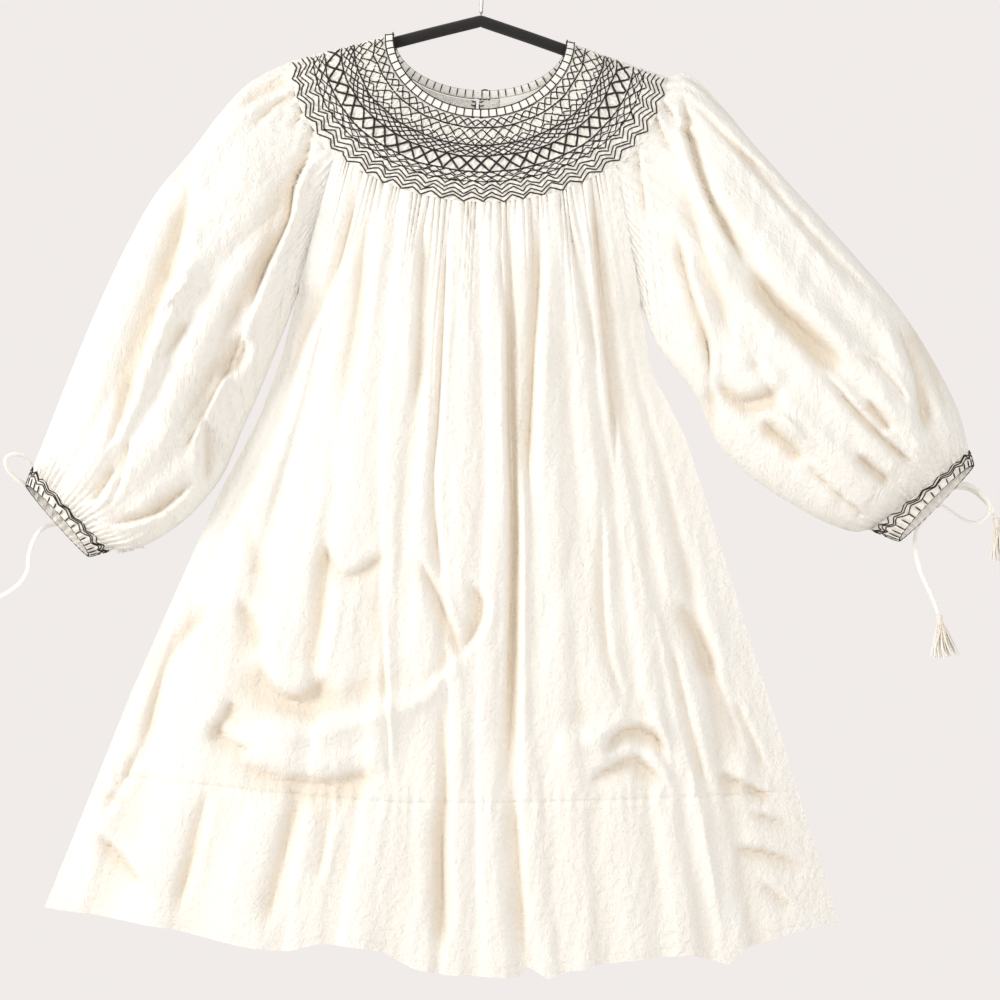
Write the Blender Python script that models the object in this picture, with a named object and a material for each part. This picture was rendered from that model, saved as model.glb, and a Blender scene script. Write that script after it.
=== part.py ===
"""Mini dress hanging on a clothes hanger: walls of cloth about 1.5 mm thick, each cut piece its own solid.

Lengths in the tables are millimetres and are turned to metres where a mesh is made. X runs to the viewer's right,
the front faces -Y and Z is up. A drop is the distance below the neck corners.
"""

import bmesh
import bpy
import numpy as np

MM = 0.001

# Overall sizes in millimetres
HOOK_ABOVE_NECK = 100.0
SEAM_GAP = 0.3
CLOTH = 1.5
STEEPEST_WALL = 2.4

# Neck opening and yoke, as half ellipses about a centre that lies on the shoulder lines
NECK_HALF_WIDTH = 84.0
NECK_FRONT_DROP = 72.0
NECK_BACK_DROP = 50.0
BINDING_HEIGHT = 7.6
BINDING_THICKNESS = 3.2
BINDING_ARCH = 5.6
BINDING_RISE = 0.8
BINDING_END_GAP = 0.6
YOKE_HALF_WIDTH = 174.0
YOKE_DROP = 126.0
SHOULDER_END_DROP = 28.0
SHOULDER_SLOPE = 0.301
RAGLAN_TOP_X = 128.0
UNDERARM_DROP = 240.0
FRONT_CHEST = 17.0
FRONT_BUST = 9.0
BACK_CHEST = 15.0
BACK_FULLNESS = 6.0
SHOULDER_ROUNDING = 14.0
SMOCKING_RIBS = 26
SMOCKING_RELIEF = 1.1
SLIT_DROP = 118.0
SLIT_HALF_WIDTH = 4.0

# Body outline: drop of the row, and the half widths to the viewer's left and right
SIDE_TABLE = np.array([
    (113.35, 128, 128),
    (240, 158, 160),
    (300, 170, 172),
    (362, 190, 207),
    (429, 222, 232),
    (620, 297, 302),
    (700, 325, 331),
    (804, 362, 368),
    (823, 369, 375),
], float)

# Hem-band seam and hem edge: place across the panel from -1 to 1, and drop
SEAM_TABLE = np.array([(-1, 696), (-0.57, 702), (-0.13, 707), (0.15, 703), (0.5, 696), (1, 684)], float)
HEM_TABLE = np.array([
    (-1, 823), (-0.86, 826), (-0.66, 834), (-0.48, 845.5), (-0.23, 852.6), (0.03, 861.6), (0.2, 861.5),
    (0.22, 854), (0.27, 865), (0.4, 847), (0.53, 839.5), (0.63, 836), (0.72, 844), (0.77, 828), (0.9, 813),
    (1, 804),
], float)
HEM_SPAN = 0.25

# Where the front hem hangs higher than the back one: place across, width and lift
HEM_LIFTS = ((-0.22, 0.13, 13.0), (0.28, 0.07, 4.0))

# Depth of the body before its folds: panel place down, front and back fullness at the middle
FULLNESS_TABLE = np.array([
    (0.0, 9, 6),
    (0.2, 27, 21),
    (0.45, 34, 28),
    (0.75, 38, 32),
    (1.0, 42, 36),
    (1.25, 46, 39),
], float)

# Valleys of the front, left to right: places across at the levels, then depths at the levels
FOLD_LEVELS = np.array([0.0, 0.2, 0.4, 0.6, 0.8, 1.0, 1.25])
FRONT_FOLDS = np.array([
    (-0.93, -0.92, -0.90, -0.923, -0.93, -0.89, -0.873, 2, 3, 5, 13, 18, 14, 12),
    (-0.81, -0.80, -0.78, -0.748, -0.68, -0.65, -0.65, 3, 5, 8, 12, 13, 9, 13),
    (-0.69, -0.65, -0.58, -0.503, -0.431, -0.401, -0.39, 4, 6, 6, 9, 12, 12, 12),
    (-0.53, -0.475, -0.40, -0.298, -0.26, -0.25, -0.26, 5, 8, 9, 6, 5, 6, 9),
    (-0.353, -0.26, -0.243, -0.215, -0.158, -0.125, -0.13, 5, 8, 9, 8, 8, 5, 5),
    (-0.173, -0.135, -0.116, -0.074, -0.015, -0.005, -0.001, 5, 6, 5, 4, 7, 10, 10),
    (0.038, 0.085, 0.117, 0.096, 0.075, 0.083, 0.096, 6, 10, 8, 6, 4, 5, 6),
    (0.24, 0.235, 0.227, 0.201, 0.172, 0.174, 0.211, 9, 18, 18, 16, 14, 12, 16),
    (0.433, 0.39, 0.32, 0.28, 0.262, 0.279, 0.306, 7, 12, 14, 8, 4, 4, 6),
    (0.64, 0.58, 0.51, 0.45, 0.41, 0.41, 0.41, 5, 6, 4, 4, 7, 6, 6),
    (0.76, 0.72, 0.67, 0.62, 0.585, 0.57, 0.55, 9, 16, 15, 12, 9, 9, 8),
    (0.87, 0.83, 0.77, 0.73, 0.69, 0.665, 0.67, 4, 7, 8, 10, 10, 9, 13),
    (0.94, 0.92, 0.89, 0.86, 0.83, 0.80, 0.79, 2, 4, 6, 11, 13, 10, 12),
], float)
BACK_FOLDS = np.array([
    (-0.92, -0.91, -0.90, -0.90, -0.89, -0.88, -0.87, 2, 3, 6, 11, 13, 12, 12),
    (-0.76, -0.74, -0.71, -0.68, -0.66, -0.65, -0.64, 5, 9, 9, 7, 8, 10, 13),
    (-0.55, -0.52, -0.50, -0.48, -0.46, -0.45, -0.44, 5, 8, 10, 12, 12, 8, 8),
    (-0.36, -0.33, -0.31, -0.29, -0.28, -0.26, -0.25, 6, 12, 13, 9, 7, 9, 12),
    (-0.16, -0.14, -0.11, -0.09, -0.08, -0.07, -0.06, 5, 8, 6, 8, 12, 12, 9),
    (0.06, 0.07, 0.08, 0.10, 0.11, 0.12, 0.13, 6, 12, 14, 10, 6, 7, 10),
    (0.27, 0.27, 0.28, 0.29, 0.30, 0.31, 0.31, 5, 8, 8, 12, 13, 9, 7),
    (0.49, 0.47, 0.46, 0.46, 0.47, 0.47, 0.48, 6, 11, 9, 6, 8, 12, 14),
    (0.71, 0.68, 0.67, 0.66, 0.66, 0.66, 0.67, 4, 6, 9, 12, 11, 8, 9),
    (0.91, 0.90, 0.89, 0.87, 0.86, 0.86, 0.86, 2, 3, 5, 10, 12, 11, 12),
], float)
FOLD_SHARPNESS = 1.5
FOLD_LIFT = 0.35
FOLD_DEEPENING = 1.5

# Sleeves: place along, outer edge x and drop, inner edge x and drop, half depth
LEFT_SLEEVE = np.array([
    (0.00, -174.55, 28, -158.55, 240, 19),
    (0.06, -189, 35, -168, 272, 25),
    (0.14, -214, 51, -183, 315, 31),
    (0.22, -238, 79, -194, 345, 34),
    (0.30, -262, 114, -203, 367, 36),
    (0.40, -295, 158, -211, 389, 38),
    (0.50, -321, 210, -220, 412, 40),
    (0.62, -346, 271, -236, 437, 42),
    (0.74, -366, 326, -259, 462, 40),
    (0.86, -383, 375, -290, 483, 31),
    (1.00, -397, 414, -322, 489, 15),
], float)
RIGHT_SLEEVE = np.array([
    (0.00, 174.55, 28, 160.55, 240, 19),
    (0.06, 195, 24, 176, 276, 26),
    (0.14, 229, 54, 205, 308, 32),
    (0.22, 257, 85, 219, 329, 35),
    (0.30, 288, 117, 230, 353, 38),
    (0.40, 325, 154, 243, 373, 40),
    (0.50, 360, 190, 262, 390, 42),
    (0.62, 399, 232, 294, 411, 42),
    (0.74, 430, 275, 331, 430, 39),
    (0.86, 456, 320, 362, 441, 30),
    (1.00, 470, 361, 382, 439, 15),
], float)
SLEEVE_ROOT = 0.35
SLEEVE_GAP = 0.55
RING_POINTS = 32
CORNER_POINT = 7
CORNER_SHARE = (1.0 - np.cos(2 * np.pi * CORNER_POINT / RING_POINTS)) / 2

# Sleeve valleys: side of the tube, place across from the outer edge, and depth, each at the levels along
SLEEVE_LEVELS = np.array([0.0, 0.25, 0.5, 0.75, 1.0])
LEFT_FOLDS = np.array([
    (-1, 0.16, 0.20, 0.26, 0.30, 0.30, 2, 6, 9, 7, 2),
    (-1, 0.34, 0.46, 0.50, 0.52, 0.52, 5, 10, 14, 10, 2),
    (-1, 0.52, 0.68, 0.76, 0.74, 0.72, 6, 13, 12, 9, 2),
    (-1, 0.74, 0.86, 0.90, 0.88, 0.86, 3, 6, 9, 8, 2),
    (1, 0.22, 0.26, 0.28, 0.30, 0.34, 3, 8, 10, 8, 2),
    (1, 0.48, 0.50, 0.50, 0.52, 0.54, 5, 9, 8, 10, 2),
    (1, 0.72, 0.74, 0.74, 0.76, 0.76, 4, 9, 12, 8, 2),
], float)
RIGHT_FOLDS = np.array([
    (-1, 0.14, 0.18, 0.22, 0.24, 0.26, 2, 4, 8, 8, 2),
    (-1, 0.34, 0.38, 0.42, 0.44, 0.46, 5, 12, 15, 11, 2),
    (-1, 0.52, 0.58, 0.60, 0.62, 0.64, 4, 8, 8, 9, 2),
    (-1, 0.72, 0.78, 0.80, 0.82, 0.82, 4, 8, 12, 8, 2),
    (1, 0.24, 0.26, 0.30, 0.30, 0.32, 3, 8, 10, 8, 2),
    (1, 0.46, 0.50, 0.52, 0.52, 0.54, 5, 10, 8, 9, 2),
    (1, 0.74, 0.74, 0.76, 0.74, 0.74, 4, 8, 12, 8, 2),
], float)
SLEEVE_FOLD_WIDTH = 0.065

# Cuffs: outer corner and inner corner of the free edge, x and drop
LEFT_CUFF_EDGE = ((-403.0, 433.0), (-343.0, 495.0))
RIGHT_CUFF_EDGE = ((475.0, 376.0), (410.0, 448.0))
CUFF_HALF_DEPTH = 13.0
CUFF_TILT = 4.0
CUFF_RIBS = 16
CUFF_RELIEF = 0.9

# Hanger: arm route as x and drop, then the hook
ARM_ROUTE = np.array([(0, -17), (45, -3.8), (81, 7.2), (120, 19), (150, 28.2), (170, 35), (184, 44)], float)
ARM_HEIGHT = 11.0
ARM_THICKNESS = 6.0
HOOK_WIRE = 3.4
HOOK_INNER_RADIUS = 17.0
HOOK_FROM = -55.0
HOOK_TO = 195.0

# Ties: x, depth and drop of each route point, the front at minus
TIE_WIDTH = 4.0
TIE_POINT_STEP = 10.0
KNOT_SIZE = (5.0, 3.6, 4.6)
LEFT_KNOT = (-367.5, 16.2, 463.0)
RIGHT_KNOT = (446.0, 15.5, 411.0)
LEFT_LOOP = [
    (-380.0, 16.6, 452.0), (-390.2, 17.5, 443.4), (-403.7, 16.0, 433.7),
    (-415.2, 13.0, 425.9), (-422.0, 10.0, 418.7), (-424.6, 8.0, 411.4), (-422.6, 8.0, 406.2),
    (-415.2, 10.0, 403.5), (-407.7, 14.0, 406.0), (-402.8, 17.5, 412.3), (-394.0, 20.0, 421.0),
    (-384.0, 22.5, 431.5), (-374.0, 24.0, 443.5), (-367.2, 24.5, 454.0),
]
LEFT_TAIL_SHOWN = [
    (-378.0, 14.8, 467.5), (-385.0, 12.0, 469.5), (-391.0, 7.0, 475.5),
    (-395.8, 5.0, 485.5), (-398.8, 4.0, 498.7), (-398.8, 3.0, 508.4), (-401.0, 3.0, 516.0),
    (-407.2, 2.0, 524.8), (-417.1, 2.0, 532.7), (-425.0, 2.0, 537.0),
]
LEFT_TAIL_HIDDEN = [
    (-357.5, 21.5, 457.5), (-350.0, 25.5, 449.0), (-340.0, 30.0, 442.5), (-328.0, 34.0, 440.0),
    (-320.5, 36.0, 443.5), (-318.5, 36.5, 450.0),
]
RIGHT_LOOP = [
    (452.6, 15.0, 401.0), (458.0, 14.0, 396.5), (463.5, 13.0, 393.9), (471.0, 10.0, 393.2),
    (478.5, 8.0, 396.2), (485.5, 6.0, 402.1), (492.0, 5.0, 410.0), (492.5, 6.0, 418.5),
    (486.6, 9.0, 426.0), (478.9, 12.0, 428.4), (468.1, 15.0, 424.7), (457.5, 16.9, 417.4),
]
RIGHT_TAIL_SIDE = [
    (448.5, 26.0, 406.8), (454.5, 27.0, 400.5), (462.0, 23.5, 396.5), (474.0, 18.0, 397.0),
    (483.0, 14.5, 401.8), (490.5, 12.0, 408.6), (496.5, 11.0, 415.0),
    (499.5, 10.5, 422.0),
]
RIGHT_TAIL_DOWN = [
    (440.0, 17.6, 419.0), (435.0, 17.8, 426.0), (430.0, 17.5, 434.0), (426.6, 16.5, 442.7),
    (426.5, 15.0, 452.4), (428.4, 13.0, 464.0), (431.8, 11.0, 475.5), (436.6, 10.0, 486.0),
    (441.9, 9.0, 496.0), (447.2, 8.5, 507.3), (449.8, 8.0, 514.5),
]

# Tassels: head and flaring strands below it, lengths along the tassel
TASSEL_HEAD_RADIUS = 3.3
TASSEL_HEAD_LENGTH = 9.0
TASSEL_SECTORS = 8
TASSEL_LENGTH = 41.0
TASSEL_SPREAD = 15.0
TASSEL_WEIGHT = 0.9
TASSEL_NECK = 1.0

# Closure at the top of the back slit, and the tab inside the neck
BUTTON_RADIUS = 4.5
BUTTON_THICKNESS = 2.4
BUTTON_X = 6.5
LOOP_THREAD = 1.2
CLOSURE_GAP = 1.9
LABEL_FROM_X = 21.0
LABEL_TO_X = 65.0
LABEL_HEIGHT = 13.0
LABEL_THICKNESS = 1.0
LABEL_CLEARANCE = 0.9

WHITE_COTTON = (0.93, 0.90, 0.84)
SHADED_COTTON = (0.88, 0.84, 0.77)
BLACK_VELVET = (0.012, 0.008, 0.009)
HOOK_METAL = (0.45, 0.45, 0.46)


def clear_scene():
    for obj in list(bpy.data.objects):
        bpy.data.objects.remove(obj, do_unlink=True)


def material(name, colour, roughness, metallic=0.0):
    made = bpy.data.materials.new(name)
    made.use_nodes = True
    shader = made.node_tree.nodes["Principled BSDF"]
    shader.inputs["Base Color"].default_value = (*colour, 1.0)
    shader.inputs["Roughness"].default_value = roughness
    shader.inputs["Metallic"].default_value = metallic
    return made


def add_object(name, points, faces, colour, roughness=0.9, metallic=0.0):
    """One closed solid from points in millimetres, drop already turned to height."""
    mesh = bpy.data.meshes.new(name)
    mesh.from_pydata((np.asarray(points) * MM).tolist(), [], [list(map(int, face)) for face in faces])
    mesh.validate()
    work = bmesh.new()
    work.from_mesh(mesh)
    bmesh.ops.recalc_face_normals(work, faces=work.faces)
    work.to_mesh(mesh)
    work.free()
    mesh.materials.append(material(name + "_material", colour, roughness, metallic))
    obj = bpy.data.objects.new(name, mesh)
    bpy.context.scene.collection.objects.link(obj)
    return obj


def at(x, y, drop):
    """Points of the garment frame from x, depth and drop, origin at the hook's inner top."""
    x, y, drop = np.broadcast_arrays(np.asarray(x, float), np.asarray(y, float), np.asarray(drop, float))
    return np.stack([x, y, -(drop + HOOK_ABOVE_NECK)], axis=-1)


def grid_faces(rows, columns, closed, start=0, flip=False):
    """Quads of a grid whose points run along the columns first."""
    found = []
    last = columns if closed else columns - 1
    for row in range(rows - 1):
        for column in range(last):
            after = (column + 1) % columns
            quad = [
                start + row * columns + column,
                start + row * columns + after,
                start + (row + 1) * columns + after,
                start + (row + 1) * columns + column,
            ]
            found.append(quad[::-1] if flip else quad)
    return found


def wall(name, outer, inner, colour, closed=False, roughness=0.9):
    """A cloth wall between two grids of points of the same size, closed all round its rims."""
    rows, columns = outer.shape[:2]
    count = rows * columns
    faces = grid_faces(rows, columns, closed)
    faces += grid_faces(rows, columns, closed, start=count, flip=True)
    last = columns if closed else columns - 1
    for row, turned in ((0, True), (rows - 1, False)):
        for column in range(last):
            one = row * columns + column
            two = row * columns + (column + 1) % columns
            quad = [one, two, two + count, one + count]
            faces.append(quad if turned else quad[::-1])
    if not closed:
        for column, turned in ((0, False), (columns - 1, True)):
            for row in range(rows - 1):
                one = row * columns + column
                two = one + columns
                quad = [one, two, two + count, one + count]
                faces.append(quad if turned else quad[::-1])
    points = np.concatenate([outer.reshape(-1, 3), inner.reshape(-1, 3)])
    return add_object(name, points, faces, colour, roughness)


def smoothstep(value):
    value = np.clip(value, 0.0, 1.0)
    return value * value * (3.0 - 2.0 * value)


def table_column(table, column, where):
    return np.interp(where, table[:, 0], table[:, column])


# Outline of the yoke and body in the plane of the front view
def neck_curve(angle, drop, out):
    """Neck ellipse moved outwards, from the right shoulder (0) over the middle to the left one (pi)."""
    across = NECK_HALF_WIDTH + out
    start = SHOULDER_SLOPE * out
    return across * np.cos(angle), start + (drop + out - start) * np.sin(angle)


def yoke_curve(angle, out=0.0):
    across = YOKE_HALF_WIDTH + out
    return across * np.cos(angle), SHOULDER_END_DROP + (YOKE_DROP + out) * np.sin(angle)


def yoke_edge_drop(x, out=0.0):
    share = np.clip(1.0 - (x / (YOKE_HALF_WIDTH + out)) ** 2, 0.0, 1.0)
    return SHOULDER_END_DROP + (YOKE_DROP + out) * np.sqrt(share)


def body_outline(across, down):
    """x and drop of a body point: across -1 to 1, down 0 at the yoke, 1 at the band seam, past 1 on the band."""
    seam_side = np.where(across < 0, SEAM_TABLE[0, 1], SEAM_TABLE[-1, 1])
    hem_side = np.where(across < 0, HEM_TABLE[0, 1], HEM_TABLE[-1, 1])
    start = yoke_edge_drop(RAGLAN_TOP_X, SEAM_GAP)
    on_band = (down - 1.0) / HEM_SPAN
    side = np.where(down < 1, start + (seam_side - start) * down, seam_side + (hem_side - seam_side) * on_band)
    half = np.where(across < 0, table_column(SIDE_TABLE, 1, side), table_column(SIDE_TABLE, 2, side))
    top = yoke_edge_drop(RAGLAN_TOP_X * across, SEAM_GAP)
    seam = table_column(SEAM_TABLE, 1, across)
    hem = table_column(HEM_TABLE, 1, across)
    return across * half, np.where(down < 1, top + (seam - top) * down, seam + (hem - seam) * on_band)


# Depth of the cloth's inner face from the plane through the side seams
def shoulder_depth(x, drop, chest):
    below = (drop - SHOULDER_SLOPE * (np.abs(x) - NECK_HALF_WIDTH)) * np.cos(np.arctan(SHOULDER_SLOPE))
    return chest * (1.0 - np.exp(-np.clip(below, 0.0, None) / SHOULDER_ROUNDING))


def middle_bulge(across):
    return 1.0 - np.abs(np.clip(across, -1.0, 1.0)) ** 2.4


def side_depth(drop, chest):
    """Depth at a body panel's side edge: full at the yoke, closing round at the underarm."""
    share = np.clip((drop - SIDE_TABLE[0, 0]) / (UNDERARM_DROP - SIDE_TABLE[0, 0]), 0.0, 1.0)
    return chest * np.sqrt(1.0 - share ** 2)


def fold_places(folds, down):
    """Valley places and depths at each row, one column for each valley."""
    count = len(FOLD_LEVELS)
    down = np.atleast_1d(down)
    places = np.stack([np.interp(down, FOLD_LEVELS, row[:count]) for row in folds], axis=-1)
    depths = np.stack([np.interp(down, FOLD_LEVELS, row[count:]) for row in folds], axis=-1)
    return places, depths


def fold_columns(folds, down, per_fold):
    """Place across and fold relief on a grid whose columns follow the valleys."""
    places, depths = fold_places(folds, down)
    rows = len(places)
    places = np.hstack([-np.ones((rows, 1)), places, np.ones((rows, 1))])
    depths = np.hstack([np.zeros((rows, 1)), depths, np.zeros((rows, 1))])
    phase = np.linspace(0, places.shape[1] - 1, (places.shape[1] - 1) * per_fold + 1)
    index = np.minimum(phase.astype(int), places.shape[1] - 2)
    part = phase - index
    across = places[:, index] * (1 - part) + places[:, index + 1] * part
    depth = depths[:, index] * (1 - smoothstep(part)) + depths[:, index + 1] * smoothstep(part)
    shape = (0.5 + 0.5 * np.cos(2 * np.pi * part)) ** FOLD_SHARPNESS
    relief = FOLD_DEEPENING * depth * (FOLD_LIFT - shape)
    return across, relief


def hem_lift(across, rows):
    """How far the front hem band is lifted, growing from its seam to its hem."""
    total = 0.0 * across
    for place, width, lift in HEM_LIFTS:
        total += lift * np.exp(-(((across - place) / width) ** 4))
    return total * smoothstep((rows - 1.0) / HEM_SPAN)


def panel_grid(folds, down, per_fold, front):
    """Outer and inner points of a body panel over rows at the places in down."""
    across, relief = fold_columns(folds, down, per_fold)
    rows = np.repeat(np.asarray(down, float)[:, None], across.shape[1], axis=1)
    chest = FRONT_CHEST if front else BACK_CHEST
    x, drop = body_outline(across, rows)
    fullness = table_column(FULLNESS_TABLE, 1 if front else 2, rows)
    edge_drop = body_outline(np.where(across < 0, -1.0, 1.0), rows)[1]
    edge = side_depth(edge_drop, chest)
    fade = smoothstep((1.0 - np.abs(across)) / 0.12)
    depth = edge + fullness * middle_bulge(across) + relief * fade
    depth = np.maximum(depth, 0.0) + SEAM_GAP / 2
    if front:
        drop = drop - hem_lift(across, rows)
    return depth_to_wall(x, depth, drop, -1.0 if front else 1.0)


def wall_thickness(x, depth, drop):
    """Thickness along Y that keeps the cloth's own thickness on a slope, up to a limit."""
    along = np.gradient(depth, axis=1) / np.maximum(np.hypot(np.gradient(x, axis=1), np.gradient(drop, axis=1)), 0.5)
    down = np.gradient(depth, axis=0) / np.maximum(np.hypot(np.gradient(x, axis=0), np.gradient(drop, axis=0)), 0.5)
    return np.minimum(CLOTH * np.sqrt(1.0 + along ** 2 + down ** 2), STEEPEST_WALL)


def depth_to_wall(x, depth, drop, facing, relief=0.0):
    thick = wall_thickness(x, depth, drop)
    outer = at(x, facing * (depth + thick + relief), drop)
    inner = at(x, facing * depth, drop)
    return outer, inner


def body_rows(count):
    """Rows down a body panel, closer together under the yoke."""
    share = np.linspace(0.0, 1.0, count)
    return share ** 1.25


def make_body(name, folds, front, per_fold, row_count):
    down = body_rows(row_count)
    down[-1] = 1.0 - 1e-9
    outer, inner = panel_grid(folds, down, per_fold, front)
    for points in (outer, inner):
        points[-1, :, 2] += SEAM_GAP / 2
    wall(name, outer, inner, WHITE_COTTON)


def make_hem_band(name, folds, front, per_fold):
    down = 1.0 + HEM_SPAN * np.array([0.0, 0.5, 1.0])
    outer, inner = panel_grid(folds, down, per_fold, front)
    for points in (outer, inner):
        points[0, :, 2] -= SEAM_GAP / 2
    wall(name, outer, inner, WHITE_COTTON)


def yoke_depth(x, drop, share, front):
    """Inner depth of a yoke point, share 0 at the neck and 1 at the lower edge."""
    chest = FRONT_CHEST if front else BACK_CHEST
    bust = FRONT_BUST if front else BACK_FULLNESS
    return shoulder_depth(x, drop, chest) + bust * share * middle_bulge(x / RAGLAN_TOP_X) + SEAM_GAP / 2


def make_yoke_front():
    angle = np.linspace(0.0, np.pi, 2 * SMOCKING_RIBS + 1)
    share = np.array([0.0, 0.08, 0.3, 0.52, 0.74, 0.93, 1.0])[:, None]
    neck_x, neck_drop = neck_curve(angle, NECK_FRONT_DROP, BINDING_HEIGHT / 2 + SEAM_GAP)
    low_x, low_drop = yoke_curve(angle)
    x = neck_x + (low_x - neck_x) * share
    drop = neck_drop + (low_drop - neck_drop) * share
    depth = yoke_depth(x, drop, share, True)
    ribs = SMOCKING_RELIEF * (np.arange(len(angle)) % 2)
    relief = ribs * ((share > 0.05) & (share < 0.95))
    outer, inner = depth_to_wall(x, depth, drop, -1.0, relief)
    wall("yoke_front", outer, inner, WHITE_COTTON)


def make_yoke_back():
    """Back yoke: its neck edge runs down one side of the slit and up the other."""
    half = np.linspace(0.0, np.pi / 2, 15)
    neck_x, neck_drop = neck_curve(half, NECK_BACK_DROP, BINDING_HEIGHT / 2 + SEAM_GAP)
    neck_x = np.append(neck_x[:-1], [SLIT_HALF_WIDTH * 0.25, SLIT_HALF_WIDTH, SLIT_HALF_WIDTH * 0.8])
    slit_top = neck_drop[-1]
    slit = slit_top + (SLIT_DROP - slit_top) * np.array([0.0, 0.45, 0.85])
    neck_drop = np.append(neck_drop[:-1], slit)
    neck_x = np.concatenate([neck_x, [0.0], -neck_x[::-1]])
    neck_drop = np.concatenate([neck_drop, [SLIT_DROP], neck_drop[::-1]])
    low_angle = np.linspace(0.0, np.pi, len(neck_x))
    low_x, low_drop = yoke_curve(low_angle)
    share = np.array([0.0, 0.25, 0.5, 0.75, 1.0])[:, None]
    x = neck_x + (low_x - neck_x) * share
    drop = neck_drop + (low_drop - neck_drop) * share
    radial = np.clip((drop - neck_drop.min()) / (YOKE_DROP + SHOULDER_END_DROP - neck_drop.min()), 0, 1)
    depth = yoke_depth(x, drop, radial, False)
    ribs = SMOCKING_RELIEF * (np.arange(len(neck_x)) % 2)
    relief = ribs * ((share > 0.05) & (share < 0.95))
    outer, inner = depth_to_wall(x, depth, drop, 1.0, relief)
    wall("yoke_back", outer, inner, WHITE_COTTON)


def neck_loop(angle, out):
    """Middle line of the binding all round: front for angles under pi, back beyond."""
    front = angle <= np.pi
    turn = np.where(front, angle, 2 * np.pi - angle)
    front_x, front_drop = neck_curve(turn, NECK_FRONT_DROP, out)
    back_x, back_drop = neck_curve(turn, NECK_BACK_DROP, out)
    x = np.where(front, front_x, back_x)
    drop = np.where(front, front_drop, back_drop)
    below = np.clip(drop - SHOULDER_SLOPE * (np.abs(x) - NECK_HALF_WIDTH), 0.0, None)
    arch = BINDING_ARCH * np.sqrt(1.0 - (1.0 - np.minimum(below / BINDING_ARCH, 1.0)) ** 2)
    front_depth = np.maximum(shoulder_depth(x, drop, FRONT_CHEST) + CLOTH / 2, arch)
    back_depth = np.maximum(shoulder_depth(x, drop, BACK_CHEST) + CLOTH / 2, arch)
    depth = np.where(front, -front_depth, back_depth) * (below > 0.01)
    return at(x, depth, drop - BINDING_RISE)


def make_binding():
    even = np.linspace(0.0, 1.0, 25)
    half = np.pi * (1.0 - np.cos(np.pi * even)) / 2
    gap = BINDING_END_GAP / NECK_HALF_WIDTH / 2
    right = 2 * np.pi - half[:12]
    left = np.pi + half[:12]
    middle_back = 1.5 * np.pi
    angle = np.concatenate([
        [middle_back + gap, middle_back + 0.12], right[:0:-1] - 2 * np.pi, half, left[1:],
        [middle_back - 0.12, middle_back - gap],
    ])
    angle = np.where(angle < 0, angle + 2 * np.pi, angle)
    middle = neck_loop(angle, 0.0)
    along = np.gradient(middle, axis=0)
    along /= np.linalg.norm(along, axis=1)[:, None]
    outward = neck_loop(angle, BINDING_HEIGHT / 2) - neck_loop(angle, -BINDING_HEIGHT / 2)
    outward -= (outward * along).sum(axis=1)[:, None] * along
    outward /= np.linalg.norm(outward, axis=1)[:, None]
    across = np.cross(along, outward)
    section = np.array([(-0.5, -0.25), (-0.5, 0.25), (-0.2, 0.5), (0.5, 0.5), (0.5, -0.5), (-0.2, -0.5)])
    rings = [
        middle + outward * (part[0] * BINDING_HEIGHT) + across * (part[1] * BINDING_THICKNESS)
        for part in section
    ]
    points = np.stack(rings, axis=1)
    count = len(section)
    faces = grid_faces(len(angle), count, True)
    faces.append(list(range(count)))
    faces.append([(len(angle) - 1) * count + side for side in range(count)][::-1])
    add_object("neck_binding", points.reshape(-1, 3), faces, WHITE_COTTON)


def make_closure():
    """Plain button on the binding's right end at the back, and the thread loop round it."""
    face = BACK_CHEST + CLOTH / 2 + BINDING_THICKNESS / 2 + CLOSURE_GAP
    drop = NECK_BACK_DROP - BINDING_RISE
    turn = np.linspace(0.0, 2 * np.pi, 17)[:-1]
    rings = []
    for share, deep in ((0.8, 0.0), (1.0, 0.3), (1.0, 0.8), (0.75, 1.0)):
        radius = BUTTON_RADIUS * share
        ring = at(BUTTON_X + radius * np.cos(turn), face + BUTTON_THICKNESS * deep, drop + radius * np.sin(turn))
        rings.append(ring)
    faces = grid_faces(len(rings), len(turn), True)
    faces.append(list(range(len(turn))))
    faces.append([3 * len(turn) + side for side in range(len(turn))][::-1])
    add_object("neck_button", np.concatenate(rings), faces, WHITE_COTTON, 0.4)
    reach = BUTTON_RADIUS + SEAM_GAP + LOOP_THREAD / 2 + 0.2
    turn = np.radians(np.linspace(-140, 140, 15))
    thread = [(-3.5, -1.6)] + [(BUTTON_X + reach * np.cos(part), reach * np.sin(part)) for part in turn]
    thread.append((-3.5, 1.6))
    route = [(x, face + LOOP_THREAD / 2, drop + down) for x, down in thread]
    make_tube("neck_loop", route, LOOP_THREAD, 3.0)


def make_label():
    """Bare tab under the binding, inside the back of the neck."""
    x = np.linspace(LABEL_FROM_X, LABEL_TO_X, 7)
    top = neck_drop_at(x) - BINDING_RISE + SEAM_GAP
    rows = np.array([0.0, 0.5, 1.0])[:, None]
    drop = top + LABEL_HEIGHT * rows
    across = np.broadcast_to(x, drop.shape)
    inner = shoulder_depth(across, drop, BACK_CHEST) - LABEL_CLEARANCE
    back = at(across, inner, drop)
    face = at(across, inner - LABEL_THICKNESS, drop)
    wall("neck_label", back, face, SHADED_COTTON)


def neck_drop_at(x):
    """Drop of the binding's lower edge at the back."""
    out = BINDING_HEIGHT / 2
    start = SHOULDER_SLOPE * out
    share = np.sqrt(1.0 - (x / (NECK_HALF_WIDTH + out)) ** 2)
    return start + (NECK_BACK_DROP + out - start) * share


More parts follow.
